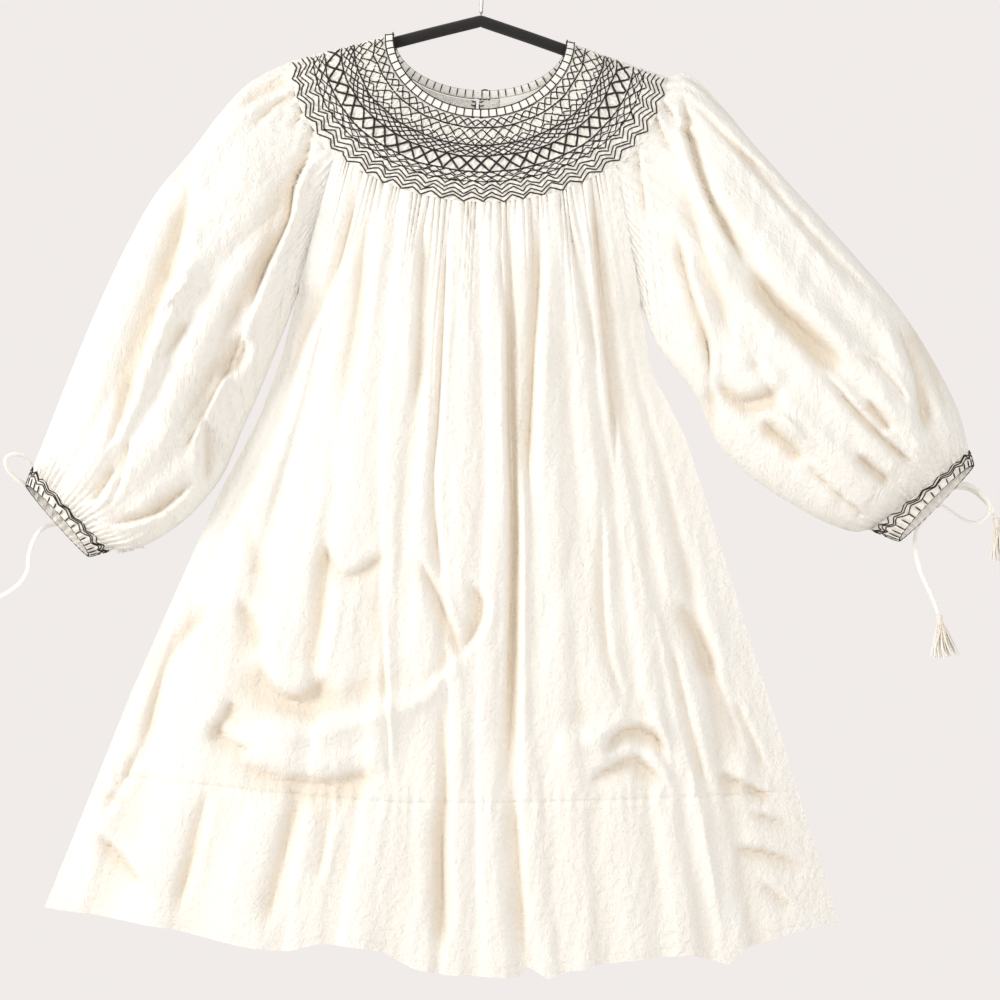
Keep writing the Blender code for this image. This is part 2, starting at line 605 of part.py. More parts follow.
def make_tube(name, route, width, step, colour=WHITE_COTTON):
    """A cord as a round tube on a smooth curve through its route points."""
    points = smooth_route(route, step)
    curve = bpy.data.curves.new(name, "CURVE")
    curve.dimensions = "3D"
    curve.bevel_depth = width / 2 * MM
    curve.bevel_resolution = 2
    curve.use_fill_caps = True
    spline = curve.splines.new("POLY")
    spline.points.add(len(points) - 1)
    placed = at(points[:, 0], points[:, 1], points[:, 2]) * MM
    for target, place in zip(spline.points, placed):
        target.co = (*place, 1.0)
    curve.materials.append(material(name + "_material", colour, 0.9))
    obj = bpy.data.objects.new(name, curve)
    bpy.context.scene.collection.objects.link(obj)
    return points


def make_knot(name, centre):
    turn = np.linspace(0.0, 2 * np.pi, 9)[:-1]
    lift = np.radians(np.array([-60.0, -20.0, 20.0, 60.0]))
    rings = [
        at(
            centre[0] + KNOT_SIZE[0] * np.cos(up) * np.cos(turn),
            centre[1] + KNOT_SIZE[1] * np.cos(up) * np.sin(turn),
            centre[2] - KNOT_SIZE[2] * np.sin(up),
        )
        for up in lift
    ]
    faces = grid_faces(len(rings), len(turn), True)
    faces.append(list(range(len(turn))))
    faces.append([3 * len(turn) + side for side in range(len(turn))][::-1])
    add_object(name, np.concatenate(rings), faces, WHITE_COTTON)


def make_tassel(name, top, aim):
    """Head with strands that grow out of its underside: an inner ring of three-sided ones, an outer of four-sided."""
    aim = np.asarray(aim, float) / np.linalg.norm(aim)
    side_way = np.cross(aim, (0.0, 1.0, 0.0))
    side_way /= np.linalg.norm(side_way)
    deep_way = np.cross(aim, side_way)
    count = TASSEL_SECTORS
    turn = 2 * np.pi * np.arange(count) / count
    start = np.asarray(top, float)

    def ring(radius, along, angles):
        flat = radius * (np.cos(angles)[:, None] * side_way + np.sin(angles)[:, None] * deep_way * 0.8)
        return start + aim * along + flat

    head = TASSEL_HEAD_RADIUS
    profile = ((0.45, 0.0), (0.95, 0.2), (1.0, 0.5), (0.7, 0.72), (0.95, 1.0))
    points = [ring(head * wide, TASSEL_HEAD_LENGTH * far, turn) for wide, far in profile]
    points.append(ring(head * 0.5, TASSEL_HEAD_LENGTH, turn))
    points = list(np.concatenate(points))
    points.append(start + aim * TASSEL_HEAD_LENGTH)
    faces = grid_faces(len(profile), count, True)
    faces.append(list(range(count)))
    outer = (len(profile) - 1) * count
    inner = outer + count
    centre = inner + count
    for sector in range(count):
        beside = (sector + 1) % count
        patches = (
            ([centre, inner + sector, inner + beside], 0.34),
            ([inner + sector, outer + sector, outer + beside, inner + beside], 1.0),
        )
        for patch, reach in patches:
            corners = np.array([points[index] for index in patch])
            middle = corners.mean(axis=0)
            inset = middle + (corners - middle) * 0.72
            flat = middle - start - aim * TASSEL_HEAD_LENGTH
            outward = flat / max(np.linalg.norm(flat), 1e-6)
            uneven = 1.0 - 0.12 * ((sector * 3 + len(patch)) % 4) / 3
            fall = aim * (TASSEL_LENGTH - TASSEL_HEAD_LENGTH) * uneven
            tip_centre = middle + fall + outward * (TASSEL_SPREAD * reach - np.linalg.norm(flat))
            tip = tip_centre + (corners - middle) * 1.15
            sides = len(patch)
            first = len(points)
            points.extend(inset)
            points.extend(tip)
            for corner in range(sides):
                after = (corner + 1) % sides
                faces.append([patch[corner], patch[after], first + after, first + corner])
                faces.append([first + corner, first + after, first + sides + after, first + sides + corner])
            faces.append([first + sides + corner for corner in range(sides)])
    placed = np.array(points)
    add_object(name, at(placed[:, 0], placed[:, 1], placed[:, 2]), faces, SHADED_COTTON)


def knot_exit(knot, towards):
    """Place just off the knot's face, on the way to a route point."""
    way = np.subtract(towards, knot)
    way = way / np.linalg.norm(way)
    reach = 1.0 / np.linalg.norm(way / np.array(KNOT_SIZE))
    return tuple(np.add(knot, way * (reach + SEAM_GAP)))


def make_ties():
    for place, knot, loop in (("left", LEFT_KNOT, LEFT_LOOP), ("right", RIGHT_KNOT, RIGHT_LOOP)):
        make_knot(f"tie_{place}_knot", knot)
        route = [knot_exit(knot, loop[0])] + loop + [knot_exit(knot, loop[-1])]
        make_tube(f"tie_{place}_loop", route, TIE_WIDTH, TIE_POINT_STEP)
    tails = (
        ("left_shown", LEFT_KNOT, LEFT_TAIL_SHOWN),
        ("left_hidden", LEFT_KNOT, LEFT_TAIL_HIDDEN),
        ("right_side", RIGHT_KNOT, RIGHT_TAIL_SIDE),
        ("right_down", RIGHT_KNOT, RIGHT_TAIL_DOWN),
    )
    for place, knot, tail in tails:
        route = [knot_exit(knot, tail[0])] + tail
        points = make_tube("tie_" + place, route, TIE_WIDTH, TIE_POINT_STEP)
        aim = points[-1] - points[-2]
        aim /= np.linalg.norm(aim)
        hang = aim + np.array([0.0, 0.0, TASSEL_WEIGHT])
        make_tassel("tassel_" + place, points[-1] + aim * TASSEL_NECK, hang)


# Sleeves: each ring is a closed curve over a line in the front plane from the outer edge to the inner one
def armhole(share, side):
    """Seam of the sleeve in the front plane, from the shoulder end to the underarm, and its depth in front."""
    low_angle = np.arccos(RAGLAN_TOP_X / YOKE_HALF_WIDTH)
    angle = np.linspace(0.0, low_angle, 24)
    yoke_x, yoke_drop = yoke_curve(angle, SLEEVE_GAP)
    under_x = abs((LEFT_SLEEVE if side < 0 else RIGHT_SLEEVE)[0, 3])
    rag_drop = np.linspace(yoke_drop[-1], UNDERARM_DROP, 30)[1:]
    rag_x = table_column(SIDE_TABLE, 1 if side < 0 else 2, rag_drop) + SLEEVE_GAP
    rag_x[-1] = under_x
    x = np.concatenate([yoke_x, rag_x])
    drop = np.concatenate([yoke_drop, rag_drop])
    depth = np.where(
        np.arange(len(x)) < len(angle),
        shoulder_depth(x, drop, FRONT_CHEST),
        side_depth(drop, FRONT_CHEST),
    )
    length = np.concatenate([[0.0], np.cumsum(np.hypot(np.diff(x), np.diff(drop)))])
    corner = length[len(angle) - 1]
    length = np.interp(length, [0.0, corner, length[-1]], [0.0, CORNER_SHARE, 1.0])
    return np.interp(share, length, x) * side, np.interp(share, length, drop), np.interp(share, length, depth)


def sleeve_ring(table, folds, along, count):
    """Outer and inner loop of the sleeve at one place along it."""
    side = np.sign(table[0, 1])
    theta = np.linspace(0.0, 2 * np.pi, count + 1)[:-1]
    share = (1.0 - np.cos(theta)) / 2
    facing = np.where(theta <= np.pi, -1.0, 1.0)
    outer_edge = np.array([table_column(table, 1, along), table_column(table, 2, along)])
    inner_edge = np.array([table_column(table, 3, along), table_column(table, 4, along)])
    half = table_column(table, 5, along)
    root = 1.0 - smoothstep(along / SLEEVE_ROOT)
    seam_x, seam_drop, seam_depth = armhole(share, side)
    start_outer = table[0, 1:3]
    start_inner = table[0, 3:5]
    straight_x = start_outer[0] + (start_inner[0] - start_outer[0]) * share
    straight_drop = start_outer[1] + (start_inner[1] - start_outer[1]) * share
    x = outer_edge[0] + (inner_edge[0] - outer_edge[0]) * share + (seam_x - straight_x) * root
    drop = outer_edge[1] + (inner_edge[1] - outer_edge[1]) * share + (seam_drop - straight_drop) * root
    round_depth = half * np.abs(np.sin(theta)) ** 0.85
    closing = np.minimum(1.0, np.abs(np.sin(theta)) * 3.0)
    flat_depth = (seam_depth + CLOTH) * closing
    blend = smoothstep(along / 0.2)
    depth = flat_depth * (1 - blend) + round_depth * blend
    valley = np.zeros_like(depth)
    for row in folds:
        place = np.interp(along, SLEEVE_LEVELS, row[1:6])
        deep = np.interp(along, SLEEVE_LEVELS, row[6:11])
        near = np.exp(-(((share - place) / SLEEVE_FOLD_WIDTH) ** 2))
        valley += np.where(facing == row[0], deep * near, 0.0)
    depth = np.maximum(depth - valley * np.abs(np.sin(theta)) * blend, depth * 0.25)
    length = np.concatenate([[0.0], np.cumsum(np.hypot(np.diff(x[: count // 2 + 1]), np.diff(drop[: count // 2 + 1])))])
    flat = np.interp(share, share[: count // 2 + 1], length)
    curve = np.stack([flat, facing * depth], axis=-1)
    tangent = np.roll(curve, -1, axis=0) - np.roll(curve, 1, axis=0)
    tangent /= np.linalg.norm(tangent, axis=1)[:, None]
    inward = np.stack([-tangent[:, 1], tangent[:, 0]], axis=-1)
    centre = np.array([length[-1] / 2, 0.0])
    turn = np.sign(((centre - curve) * inward).sum(axis=1).mean())
    shrunk = curve + inward * turn * CLOTH * 1.2
    inner_x = np.interp(shrunk[:, 0], length, x[: count // 2 + 1])
    inner_drop = np.interp(shrunk[:, 0], length, drop[: count // 2 + 1])
    return at(x, curve[:, 1], drop), at(inner_x, shrunk[:, 1], inner_drop)


def make_sleeve(name, table, folds):
    along = np.array([0.0, 0.04, 0.1, 0.18, 0.28, 0.39, 0.5, 0.61, 0.72, 0.83, 0.92, 1.0])
    rings = [sleeve_ring(table, folds, place, RING_POINTS) for place in along]
    outer = np.stack([ring[0] for ring in rings])
    inner = np.stack([ring[1] for ring in rings])
    wall(name, outer, inner, WHITE_COTTON, closed=True)


def cuff_ring(table, edge, share, count, inside):
    """One loop of the cuff between the sleeve's end and its free edge."""
    theta = np.linspace(0.0, 2 * np.pi, count + 1)[:-1]
    end_outer = table[-1, 1:3]
    end_inner = table[-1, 3:5]
    axis = (np.add(*edge) - end_outer - end_inner) / 2
    axis = axis / np.linalg.norm(axis)
    outer_edge = (end_outer + axis * SEAM_GAP) * (1 - share) + np.array(edge[0]) * share
    inner_edge = (end_inner + axis * SEAM_GAP) * (1 - share) + np.array(edge[1]) * share
    middle = (outer_edge + inner_edge) / 2
    reach = (inner_edge - outer_edge) / 2
    length = np.linalg.norm(reach)
    deep = CUFF_HALF_DEPTH * (1 - 0.12 * share)
    less = CLOTH if inside else -CUFF_RELIEF * (np.arange(count) % 2) * (0.05 < share < 0.95)
    wide = (length - less) / length
    lean = -CUFF_TILT * share * np.sin(theta)
    x = middle[0] - reach[0] * wide * np.cos(theta) + axis[0] * lean
    drop = middle[1] - reach[1] * wide * np.cos(theta) + axis[1] * lean
    return at(x, -(deep - less) * np.sin(theta), drop)


def make_cuff(name, table, edge):
    count = 2 * CUFF_RIBS
    shares = (0.0, 0.2, 0.8, 1.0)
    outer = np.stack([cuff_ring(table, edge, share, count, False) for share in shares])
    inner = np.stack([cuff_ring(table, edge, share, count, True) for share in shares])
    wall(name, outer, inner, WHITE_COTTON, closed=True)


def sweep(name, route, half_wide, half_high, sides, colour, roughness, metallic=0.0):
    """A round-ended bar along a route that stays in the front plane."""
    along = np.gradient(route, axis=0)
    along /= np.linalg.norm(along, axis=1)[:, None]
    depth_way = np.array([0.0, 1.0, 0.0])
    height_way = np.cross(along, depth_way)
    turn = np.linspace(0.0, 2 * np.pi, sides + 1)[:-1]
    scale = np.ones(len(route))
    scale[0] = scale[-1] = 0.6
    rings = route[:, None, :] + scale[:, None, None] * (
        half_wide * np.cos(turn)[None, :, None] * depth_way
        + half_high * np.sin(turn)[None, :, None] * height_way[:, None, :]
    )
    faces = grid_faces(len(route), sides, True)
    faces.append(list(range(sides)))
    faces.append([(len(route) - 1) * sides + side for side in range(sides)][::-1])
    add_object(name, rings.reshape(-1, 3), faces, colour, roughness, metallic)


def smooth_route(points, step):
    """Even points on a smooth curve through the route points."""
    points = np.asarray(points, float)
    padded = np.vstack([2 * points[0] - points[1], points, 2 * points[-1] - points[-2]])
    found = []
    for index in range(1, len(padded) - 2):
        before, one, two, after = padded[index - 1 : index + 3]
        for part in np.linspace(0.0, 1.0, 12, endpoint=False):
            found.append(0.5 * (
                2 * one
                + (two - before) * part
                + (2 * before - 5 * one + 4 * two - after) * part ** 2
                + (3 * one - before - 3 * two + after) * part ** 3
            ))
    found.append(points[-1])
    found = np.array(found)
    length = np.concatenate([[0.0], np.cumsum(np.linalg.norm(np.diff(found, axis=0), axis=1))])
    count = max(4, int(round(length[-1] / step)) + 1)
    even = np.linspace(0.0, length[-1], count)
    return np.stack([np.interp(even, length, found[:, axis]) for axis in range(3)], axis=-1)


def make_hanger():
    half = ARM_ROUTE
    x = np.concatenate([-half[:0:-1, 0], half[:, 0]])
    drop = np.concatenate([half[:0:-1, 1], half[:, 1]])
    sweep("hanger", at(x, 0.0, drop), ARM_THICKNESS / 2, ARM_HEIGHT / 2, 10, BLACK_VELVET, 0.95)
    ring = HOOK_INNER_RADIUS + HOOK_WIRE / 2
    centre_drop = -(HOOK_ABOVE_NECK - HOOK_INNER_RADIUS)
    turn = np.radians(np.linspace(HOOK_FROM, HOOK_TO, 20))
    foot = ARM_ROUTE[0, 1] - ARM_HEIGHT / 2 - SEAM_GAP
    stem = [(0.0, 0.0, foot), (0.0, 0.0, foot - 12.0), (0.0, 0.0, foot - 24.0), (1.0, 0.0, foot - 34.0)]
    arc = [(ring * np.cos(angle), 0.0, centre_drop - ring * np.sin(angle)) for angle in turn]
    route = smooth_route(stem + arc, 7.0)
    points = at(route[:, 0], route[:, 1], route[:, 2])
    sweep("hanger_hook", points, HOOK_WIRE / 2, HOOK_WIRE / 2, 8, HOOK_METAL, 0.35, 1.0)


def main():
    clear_scene()
    make_hanger()
    make_yoke_front()
    make_yoke_back()
    make_binding()
    make_body("body_front", FRONT_FOLDS, True, 4, 12)
    make_body("body_back", BACK_FOLDS, False, 4, 11)
    make_hem_band("hem_band_front", FRONT_FOLDS, True, 4)
    make_hem_band("hem_band_back", BACK_FOLDS, False, 4)
    make_sleeve("sleeve_left", LEFT_SLEEVE, LEFT_FOLDS)
    make_sleeve("sleeve_right", RIGHT_SLEEVE, RIGHT_FOLDS)
    make_cuff("cuff_left", LEFT_SLEEVE, LEFT_CUFF_EDGE)
    make_cuff("cuff_right", RIGHT_SLEEVE, RIGHT_CUFF_EDGE)
    make_closure()
    make_label()
    make_ties()


main()
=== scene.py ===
"""Looks of the mini dress: fine cloth, smocking, sewing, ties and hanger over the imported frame.

Lengths in the tables are millimetres and are turned to metres where a mesh is made. X runs to the
viewer's right, the front faces -Y and Z is up. A drop is the distance below the neck corners.
"""

import math

import bpy
import numpy as np
from mathutils import Matrix


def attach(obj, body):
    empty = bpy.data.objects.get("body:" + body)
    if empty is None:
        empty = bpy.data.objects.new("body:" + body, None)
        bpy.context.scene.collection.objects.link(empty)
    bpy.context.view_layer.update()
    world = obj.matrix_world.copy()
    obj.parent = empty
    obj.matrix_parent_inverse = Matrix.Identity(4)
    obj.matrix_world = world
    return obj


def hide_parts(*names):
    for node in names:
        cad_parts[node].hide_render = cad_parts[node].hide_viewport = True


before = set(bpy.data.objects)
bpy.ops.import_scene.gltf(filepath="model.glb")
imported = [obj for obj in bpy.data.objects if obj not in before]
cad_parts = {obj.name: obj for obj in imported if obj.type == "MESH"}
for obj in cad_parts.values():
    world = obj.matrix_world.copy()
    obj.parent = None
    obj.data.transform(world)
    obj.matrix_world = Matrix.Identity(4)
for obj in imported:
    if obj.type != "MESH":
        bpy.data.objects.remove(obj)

bl_info = {
    "name": "Mini Dress Looks",
    "version": (1, 0, 0),
    "blender": (4, 5, 0),
    "location": "View3D > Sidebar > Mini Dress",
    "description": "Builds the shown cloth, smocking, sewing, ties, hanger and stage of the mini dress",
    "category": "Add Mesh",
}

MM = 0.001
SEED = 11

# Overall sizes in millimetres, as in the solids
HOOK_ABOVE_NECK = 100.0
SEAM_GAP = 0.3
CLOTH = 1.5
SHOWN_CLOTH = 0.9
NECK_HALF_WIDTH = 84.0
NECK_FRONT_DROP = 72.0
NECK_BACK_DROP = 50.0
BINDING_HEIGHT = 7.6
BINDING_THICKNESS = 3.2
BINDING_ARCH = 5.6
BINDING_RISE = 0.8
BINDING_END_GAP = 0.6
YOKE_HALF_WIDTH = 174.0
YOKE_DROP = 126.0
SHOULDER_END_DROP = 28.0
SHOULDER_SLOPE = 0.301
RAGLAN_TOP_X = 128.0
UNDERARM_DROP = 240.0
FRONT_CHEST = 17.0
FRONT_BUST = 9.0
BACK_CHEST = 15.0
BACK_FULLNESS = 6.0
SHOULDER_ROUNDING = 14.0
SLIT_DROP = 118.0
SLIT_HALF_WIDTH = 4.0

# Grids of the shown cloth: columns in each fold of a panel, rows down it, and points round and along the rest
FRONT_FOLD_COLUMNS = 24
BACK_FOLD_COLUMNS = 16
FRONT_ROWS = 118
BACK_ROWS = 90
BAND_ROWS = 28
YOKE_FRONT_GRID = (361, 49)
YOKE_BACK_GRID = (341, 41)
BINDING_GRID = (301, 16)
LABEL_GRID = (45, 15)
SLEEVE_GRID = (196, 180)
CUFF_GRID = (240, 17)

# Edges that turn by more degrees than this are shaded sharp
SHARP_ANGLE = 60.0

# Body outline: drop of the row, and the half widths to the viewer's left and right
SIDE_TABLE = np.array([
    (113.35, 128, 128),
    (240, 158, 160),
    (300, 170, 172),
    (362, 190, 207),
    (429, 222, 232),
    (620, 297, 302),
    (700, 325, 331),
    (804, 362, 368),
    (823, 369, 375),
], float)

# Rows of the outline that the folds inside it follow
FLOW_ROWS = [0, 1, 5, 8]

# Hem-band seam and hem edge: place across the panel from -1 to 1, and drop
SEAM_TABLE = np.array([(-1, 696), (-0.57, 702), (-0.13, 707), (0.15, 703), (0.5, 696), (1, 684)], float)
HEM_TABLE = np.array([
    (-1, 823), (-0.86, 826), (-0.66, 834), (-0.48, 845.5), (-0.23, 852.6), (0.03, 861.6), (0.2, 861.5),
    (0.22, 854), (0.27, 865), (0.4, 847), (0.53, 839.5), (0.63, 836), (0.72, 844), (0.77, 828), (0.9, 813),
    (1, 804),
], float)
HEM_SPAN = 0.25

# Where the front hem hangs higher than the back one: place across, width and lift
HEM_LIFTS = ((-0.22, 0.13, 13.0), (0.28, 0.07, 4.0))

# Depth of the body before its folds: panel place down, front and back fullness at the middle
FULLNESS_TABLE = np.array([
    (0.0, 9, 6),
    (0.2, 27, 21),
    (0.45, 34, 28),
    (0.75, 38, 32),
    (1.0, 42, 36),
    (1.25, 46, 39),
], float)

# Valleys of the body, left to right: places across at the levels, then depths at the levels
FOLD_LEVELS = np.array([0.0, 0.2, 0.4, 0.6, 0.8, 1.0, 1.25])
FRONT_FOLDS = np.array([
    (-0.93, -0.92, -0.90, -0.923, -0.93, -0.89, -0.873, 2, 3, 5, 13, 18, 14, 12),
    (-0.81, -0.80, -0.78, -0.748, -0.68, -0.65, -0.65, 3, 5, 8, 12, 13, 9, 13),
    (-0.69, -0.65, -0.58, -0.503, -0.431, -0.401, -0.39, 4, 6, 6, 9, 12, 12, 12),
    (-0.53, -0.475, -0.40, -0.298, -0.26, -0.25, -0.26, 5, 8, 9, 6, 5, 6, 9),
    (-0.353, -0.26, -0.243, -0.215, -0.158, -0.125, -0.13, 5, 8, 9, 8, 8, 5, 5),
    (-0.173, -0.135, -0.116, -0.074, -0.015, -0.005, -0.001, 5, 6, 5, 4, 7, 10, 10),
    (0.038, 0.085, 0.117, 0.096, 0.075, 0.083, 0.096, 6, 10, 8, 6, 4, 5, 6),
    (0.24, 0.235, 0.227, 0.201, 0.172, 0.174, 0.211, 9, 18, 18, 16, 14, 12, 16),
    (0.433, 0.39, 0.32, 0.28, 0.262, 0.279, 0.306, 7, 12, 14, 8, 4, 4, 6),
    (0.64, 0.58, 0.51, 0.45, 0.41, 0.41, 0.41, 5, 6, 4, 4, 7, 6, 6),
    (0.76, 0.72, 0.67, 0.62, 0.585, 0.57, 0.55, 9, 16, 15, 12, 9, 9, 8),
    (0.87, 0.83, 0.77, 0.73, 0.69, 0.665, 0.67, 4, 7, 8, 10, 10, 9, 13),
    (0.94, 0.92, 0.89, 0.86, 0.83, 0.80, 0.79, 2, 4, 6, 11, 13, 10, 12),
], float)
BACK_FOLDS = np.array([
    (-0.92, -0.91, -0.90, -0.90, -0.89, -0.88, -0.87, 2, 3, 6, 11, 13, 12, 12),
    (-0.76, -0.74, -0.71, -0.68, -0.66, -0.65, -0.64, 5, 9, 9, 7, 8, 10, 13),
    (-0.55, -0.52, -0.50, -0.48, -0.46, -0.45, -0.44, 5, 8, 10, 12, 12, 8, 8),
    (-0.36, -0.33, -0.31, -0.29, -0.28, -0.26, -0.25, 6, 12, 13, 9, 7, 9, 12),
    (-0.16, -0.14, -0.11, -0.09, -0.08, -0.07, -0.06, 5, 8, 6, 8, 12, 12, 9),
    (0.06, 0.07, 0.08, 0.10, 0.11, 0.12, 0.13, 6, 12, 14, 10, 6, 7, 10),
    (0.27, 0.27, 0.28, 0.29, 0.30, 0.31, 0.31, 5, 8, 8, 12, 13, 9, 7),
    (0.49, 0.47, 0.46, 0.46, 0.47, 0.47, 0.48, 6, 11, 9, 6, 8, 12, 14),
    (0.71, 0.68, 0.67, 0.66, 0.66, 0.66, 0.67, 4, 6, 9, 12, 11, 8, 9),
    (0.91, 0.90, 0.89, 0.87, 0.86, 0.86, 0.86, 2, 3, 5, 10, 12, 11, 12),
], float)
FOLD_LIFT = 0.35
FOLD_DEEPENING = 0.55
FOLD_LIMIT = 10.0

# Depths of the finer relief that the scene adds, and of the painted shade in the hollows
DRAPE_DEPTH = 1.0
SLEEVE_FOLDING = 0.7
SLEEVE_DRAPE = 0.8
CREASE_DEEPENING = 1.1
SLEEVE_DEEPENING = 1.3
CREASE_STEP = 4.0
CREASE_LONG_SIDE = 1.5
CREASE_STEEP_SIDE = 0.5
CREASE_SHOULDER = 0.3
CREASE_FADE = 0.26
CRUMPLE_DEPTH = 0.55
GATHER_REACH = 32.0
GATHER_SHORTEST = 12.0
SIDE_PUCKER_LENGTH = 11.0
SIDE_PUCKER_DEPTH = 0.9
SIDE_PUCKER_REACH = 9.0
SIDE_PUCKERS_FROM = 470.0
SEAM_PUCKER_LENGTH = 13.0
SEAM_PUCKER_DEPTH = 0.8
SEAM_PUCKER_REACH = 12.0
SEAM_GROOVE = 1.2
SEAM_GROOVE_REACH = 2.0
SLEEVE_TOP_GATHERS = 26
SLEEVE_TOP_DEPTH = 1.3
SLEEVE_END_GATHERS = 22
SLEEVE_END_DEPTH = 1.8
PAINTED_SHADE_START = 0.03
PAINTED_SHADE_DEPTH = 10.0
CREASE_PAINTED_SHADE = 0.06

# Flat lengths over which the waves run: across half a panel, down a panel, and round and down a sleeve
PANEL_REACH = 400.0
PANEL_FLOW = 300.0
PANEL_LENGTH = 620.0
SLEEVE_REACH = 300.0
SLEEVE_FLOW = 260.0
SLEEVE_LENGTH = 470.0
BINDING_LENGTH = 500.0

# Wave fields: how many waves, the shortest and longest, and how much they are stretched down the cloth
UNEVEN_WAVES = (5, 60, 170, 4)
DRAPE_WAVES = (7, 46, 120, 9)
GATHER_WAVES = (6, 30, 110, 6)
PUCKER_WAVES = (3, 60, 150, 1)
CRUMPLE_WAVES = (8, 26, 70, 1.6)
CRINKLE_WAVES = (14, 9, 26, 2.2)
SLEEVE_UNEVEN_WAVES = (4, 60, 160, 3)
SLEEVE_DRAPE_WAVES = (7, 40, 110, 9)
SLEEVE_CRUMPLE_WAVES = (8, 24, 60, 1.4)
SLEEVE_CRINKLE_WAVES = (14, 9, 26, 2.0)

# Creases of the front: half width, depth (a ridge at minus), and the route's x and drop
FRONT_CREASES = [
    (5, 4, [(-45, 356), (-44, 257), (-45, 165)]),
    (4, 4, [(-24, 153), (-22, 248), (-23, 352), (-24, 429), (-3, 563)]),
    (4, 7, [(55, 705), (53, 553), (50, 445), (43, 349), (36, 221), (31, 148)]),
    (5, 4, [(52, 398), (58, 556), (61, 705)]),
    (4, 4, [(61, 686), (71, 779), (80, 858)]),
    (2, 2, [(24, 178), (30, 221), (39, 276)]),
    (7, 6, [(59, 146), (63, 220), (62, 277), (61, 348), (60, 442)]),
    (5, 3, [(125, 316), (115, 275), (105, 235), (83, 141)]),
    (5, 7, [(145, 411), (137, 345), (119, 217), (106, 120)]),
    (4, 4, [(130, 413), (140, 550), (166, 622)]),
    (8, -4, [(167, 467), (191, 547), (212, 631), (232, 697), (263, 831)]),
    (5, 4, [(197, 541), (223, 633), (245, 704)]),
    (8, 4, [(-93, 136), (-99, 209), (-99, 285), (-114, 363)]),
    (7, 4, [(-107, 116), (-117, 205), (-155, 295), (-168, 348)]),
    (4, 5, [(134, 106), (155, 198), (172, 272), (191, 314)]),
    (10, 5, [(-225, 432), (-265, 533), (-331, 683)]),
    (7, 6, [(-212, 525), (-263, 589), (-284, 684)]),
    (8, 5, [(-232, 487), (-256, 532), (-283, 625)]),
    (8, 3, [(-195, 450), (-177, 516)]),
    (8, 5, [(-118, 465), (-123, 545), (-132, 618)]),
    (7, 5, [(-202, 525), (-185, 553), (-176, 581)]),
    (6, 6, [(-127, 471), (-101, 502), (-60, 476)]),
    (3, 4, [(-71, 498), (-61, 600), (-51, 700)]),
    (5, 6, [(-39, 476), (-14, 522), (12, 580)]),
    (6, 6, [(10, 499), (25, 529), (4, 577)]),
    (6, -5, [(-51, 624), (-20, 606), (12, 567)]),
    (11, 9, [(-180, 580), (-167, 608), (-137, 618), (-106, 589)]),
    (7, 6, [(-220, 663), (-212, 644), (-198, 619)]),
    (6, 6, [(-220, 638), (-207, 658), (-174, 669)]),
    (13, -9, [(-195, 649), (-119, 644), (-47, 618), (-17, 595)]),
    (11, 8, [(-207, 675), (-125, 694), (-48, 676)]),
    (14, -6, [(96, 641), (119, 646), (143, 634)]),
    (6, 8, [(138, 661), (158, 635), (186, 636), (207, 658)]),
    (6, 7, [(125, 682), (164, 661), (183, 667), (209, 689)]),
    (5, 4, [(174, 601), (191, 639), (210, 680)]),
    (9, 6, [(202, 507), (229, 549), (247, 586)]),
    (9, 3, [(-12, 589), (0, 707), (14, 854)]),
    (6, 5, [(-220, 702), (-231, 764), (-245, 828)]),
    (8, 6, [(-135, 698), (-148, 770), (-162, 841)]),
    (5, 4, [(-103, 706), (-115, 794)]),
    (6, 5, [(-7, 698), (6, 854)]),
    (5, 6, [(-334, 746), (-303, 769), (-270, 802)]),
    (6, 6, [(-285, 669), (-300, 702), (-320, 737)]),
    (4, 4, [(-336, 711), (-291, 722)]),
    (4, 5, [(259, 597), (277, 630), (297, 672)]),
    (5, 6, [(243, 669), (272, 679), (310, 697)]),
    (5, 6, [(263, 738), (302, 743), (348, 760)]),
    (4, 5, [(274, 702), (320, 718), (353, 743)]),
    (5, 3, [(227, 552), (252, 603), (278, 664)]),
    (4, 4, [(290, 766), (327, 795)]),
]
BACK_CREASES = [
    (7, 5, [(-120, 120), (-143, 224), (-150, 330)]),
    (5, 6, [(-60, 145), (-76, 272), (-80, 400)]),
    (5, 7, [(20, 155), (23, 318), (10, 480)]),
    (6, 6, [(90, 135), (108, 247), (118, 360)]),
    (7, 5, [(150, 300), (170, 431), (200, 560)]),
    (9, 6, [(-200, 480), (-243, 582), (-270, 690)]),
    (8, 5, [(-90, 500), (-69, 599), (-60, 700)]),
    (7, 6, [(60, 520), (72, 661), (95, 800)]),
    (9, 5, [(120, 600), (161, 629), (210, 640)]),
    (10, 5, [(-160, 620), (-107, 625), (-60, 650)]),
    (8, -5, [(-20, 640), (7, 661), (40, 668)]),
    (8, 6, [(230, 560), (260, 659), (280, 760)]),
]

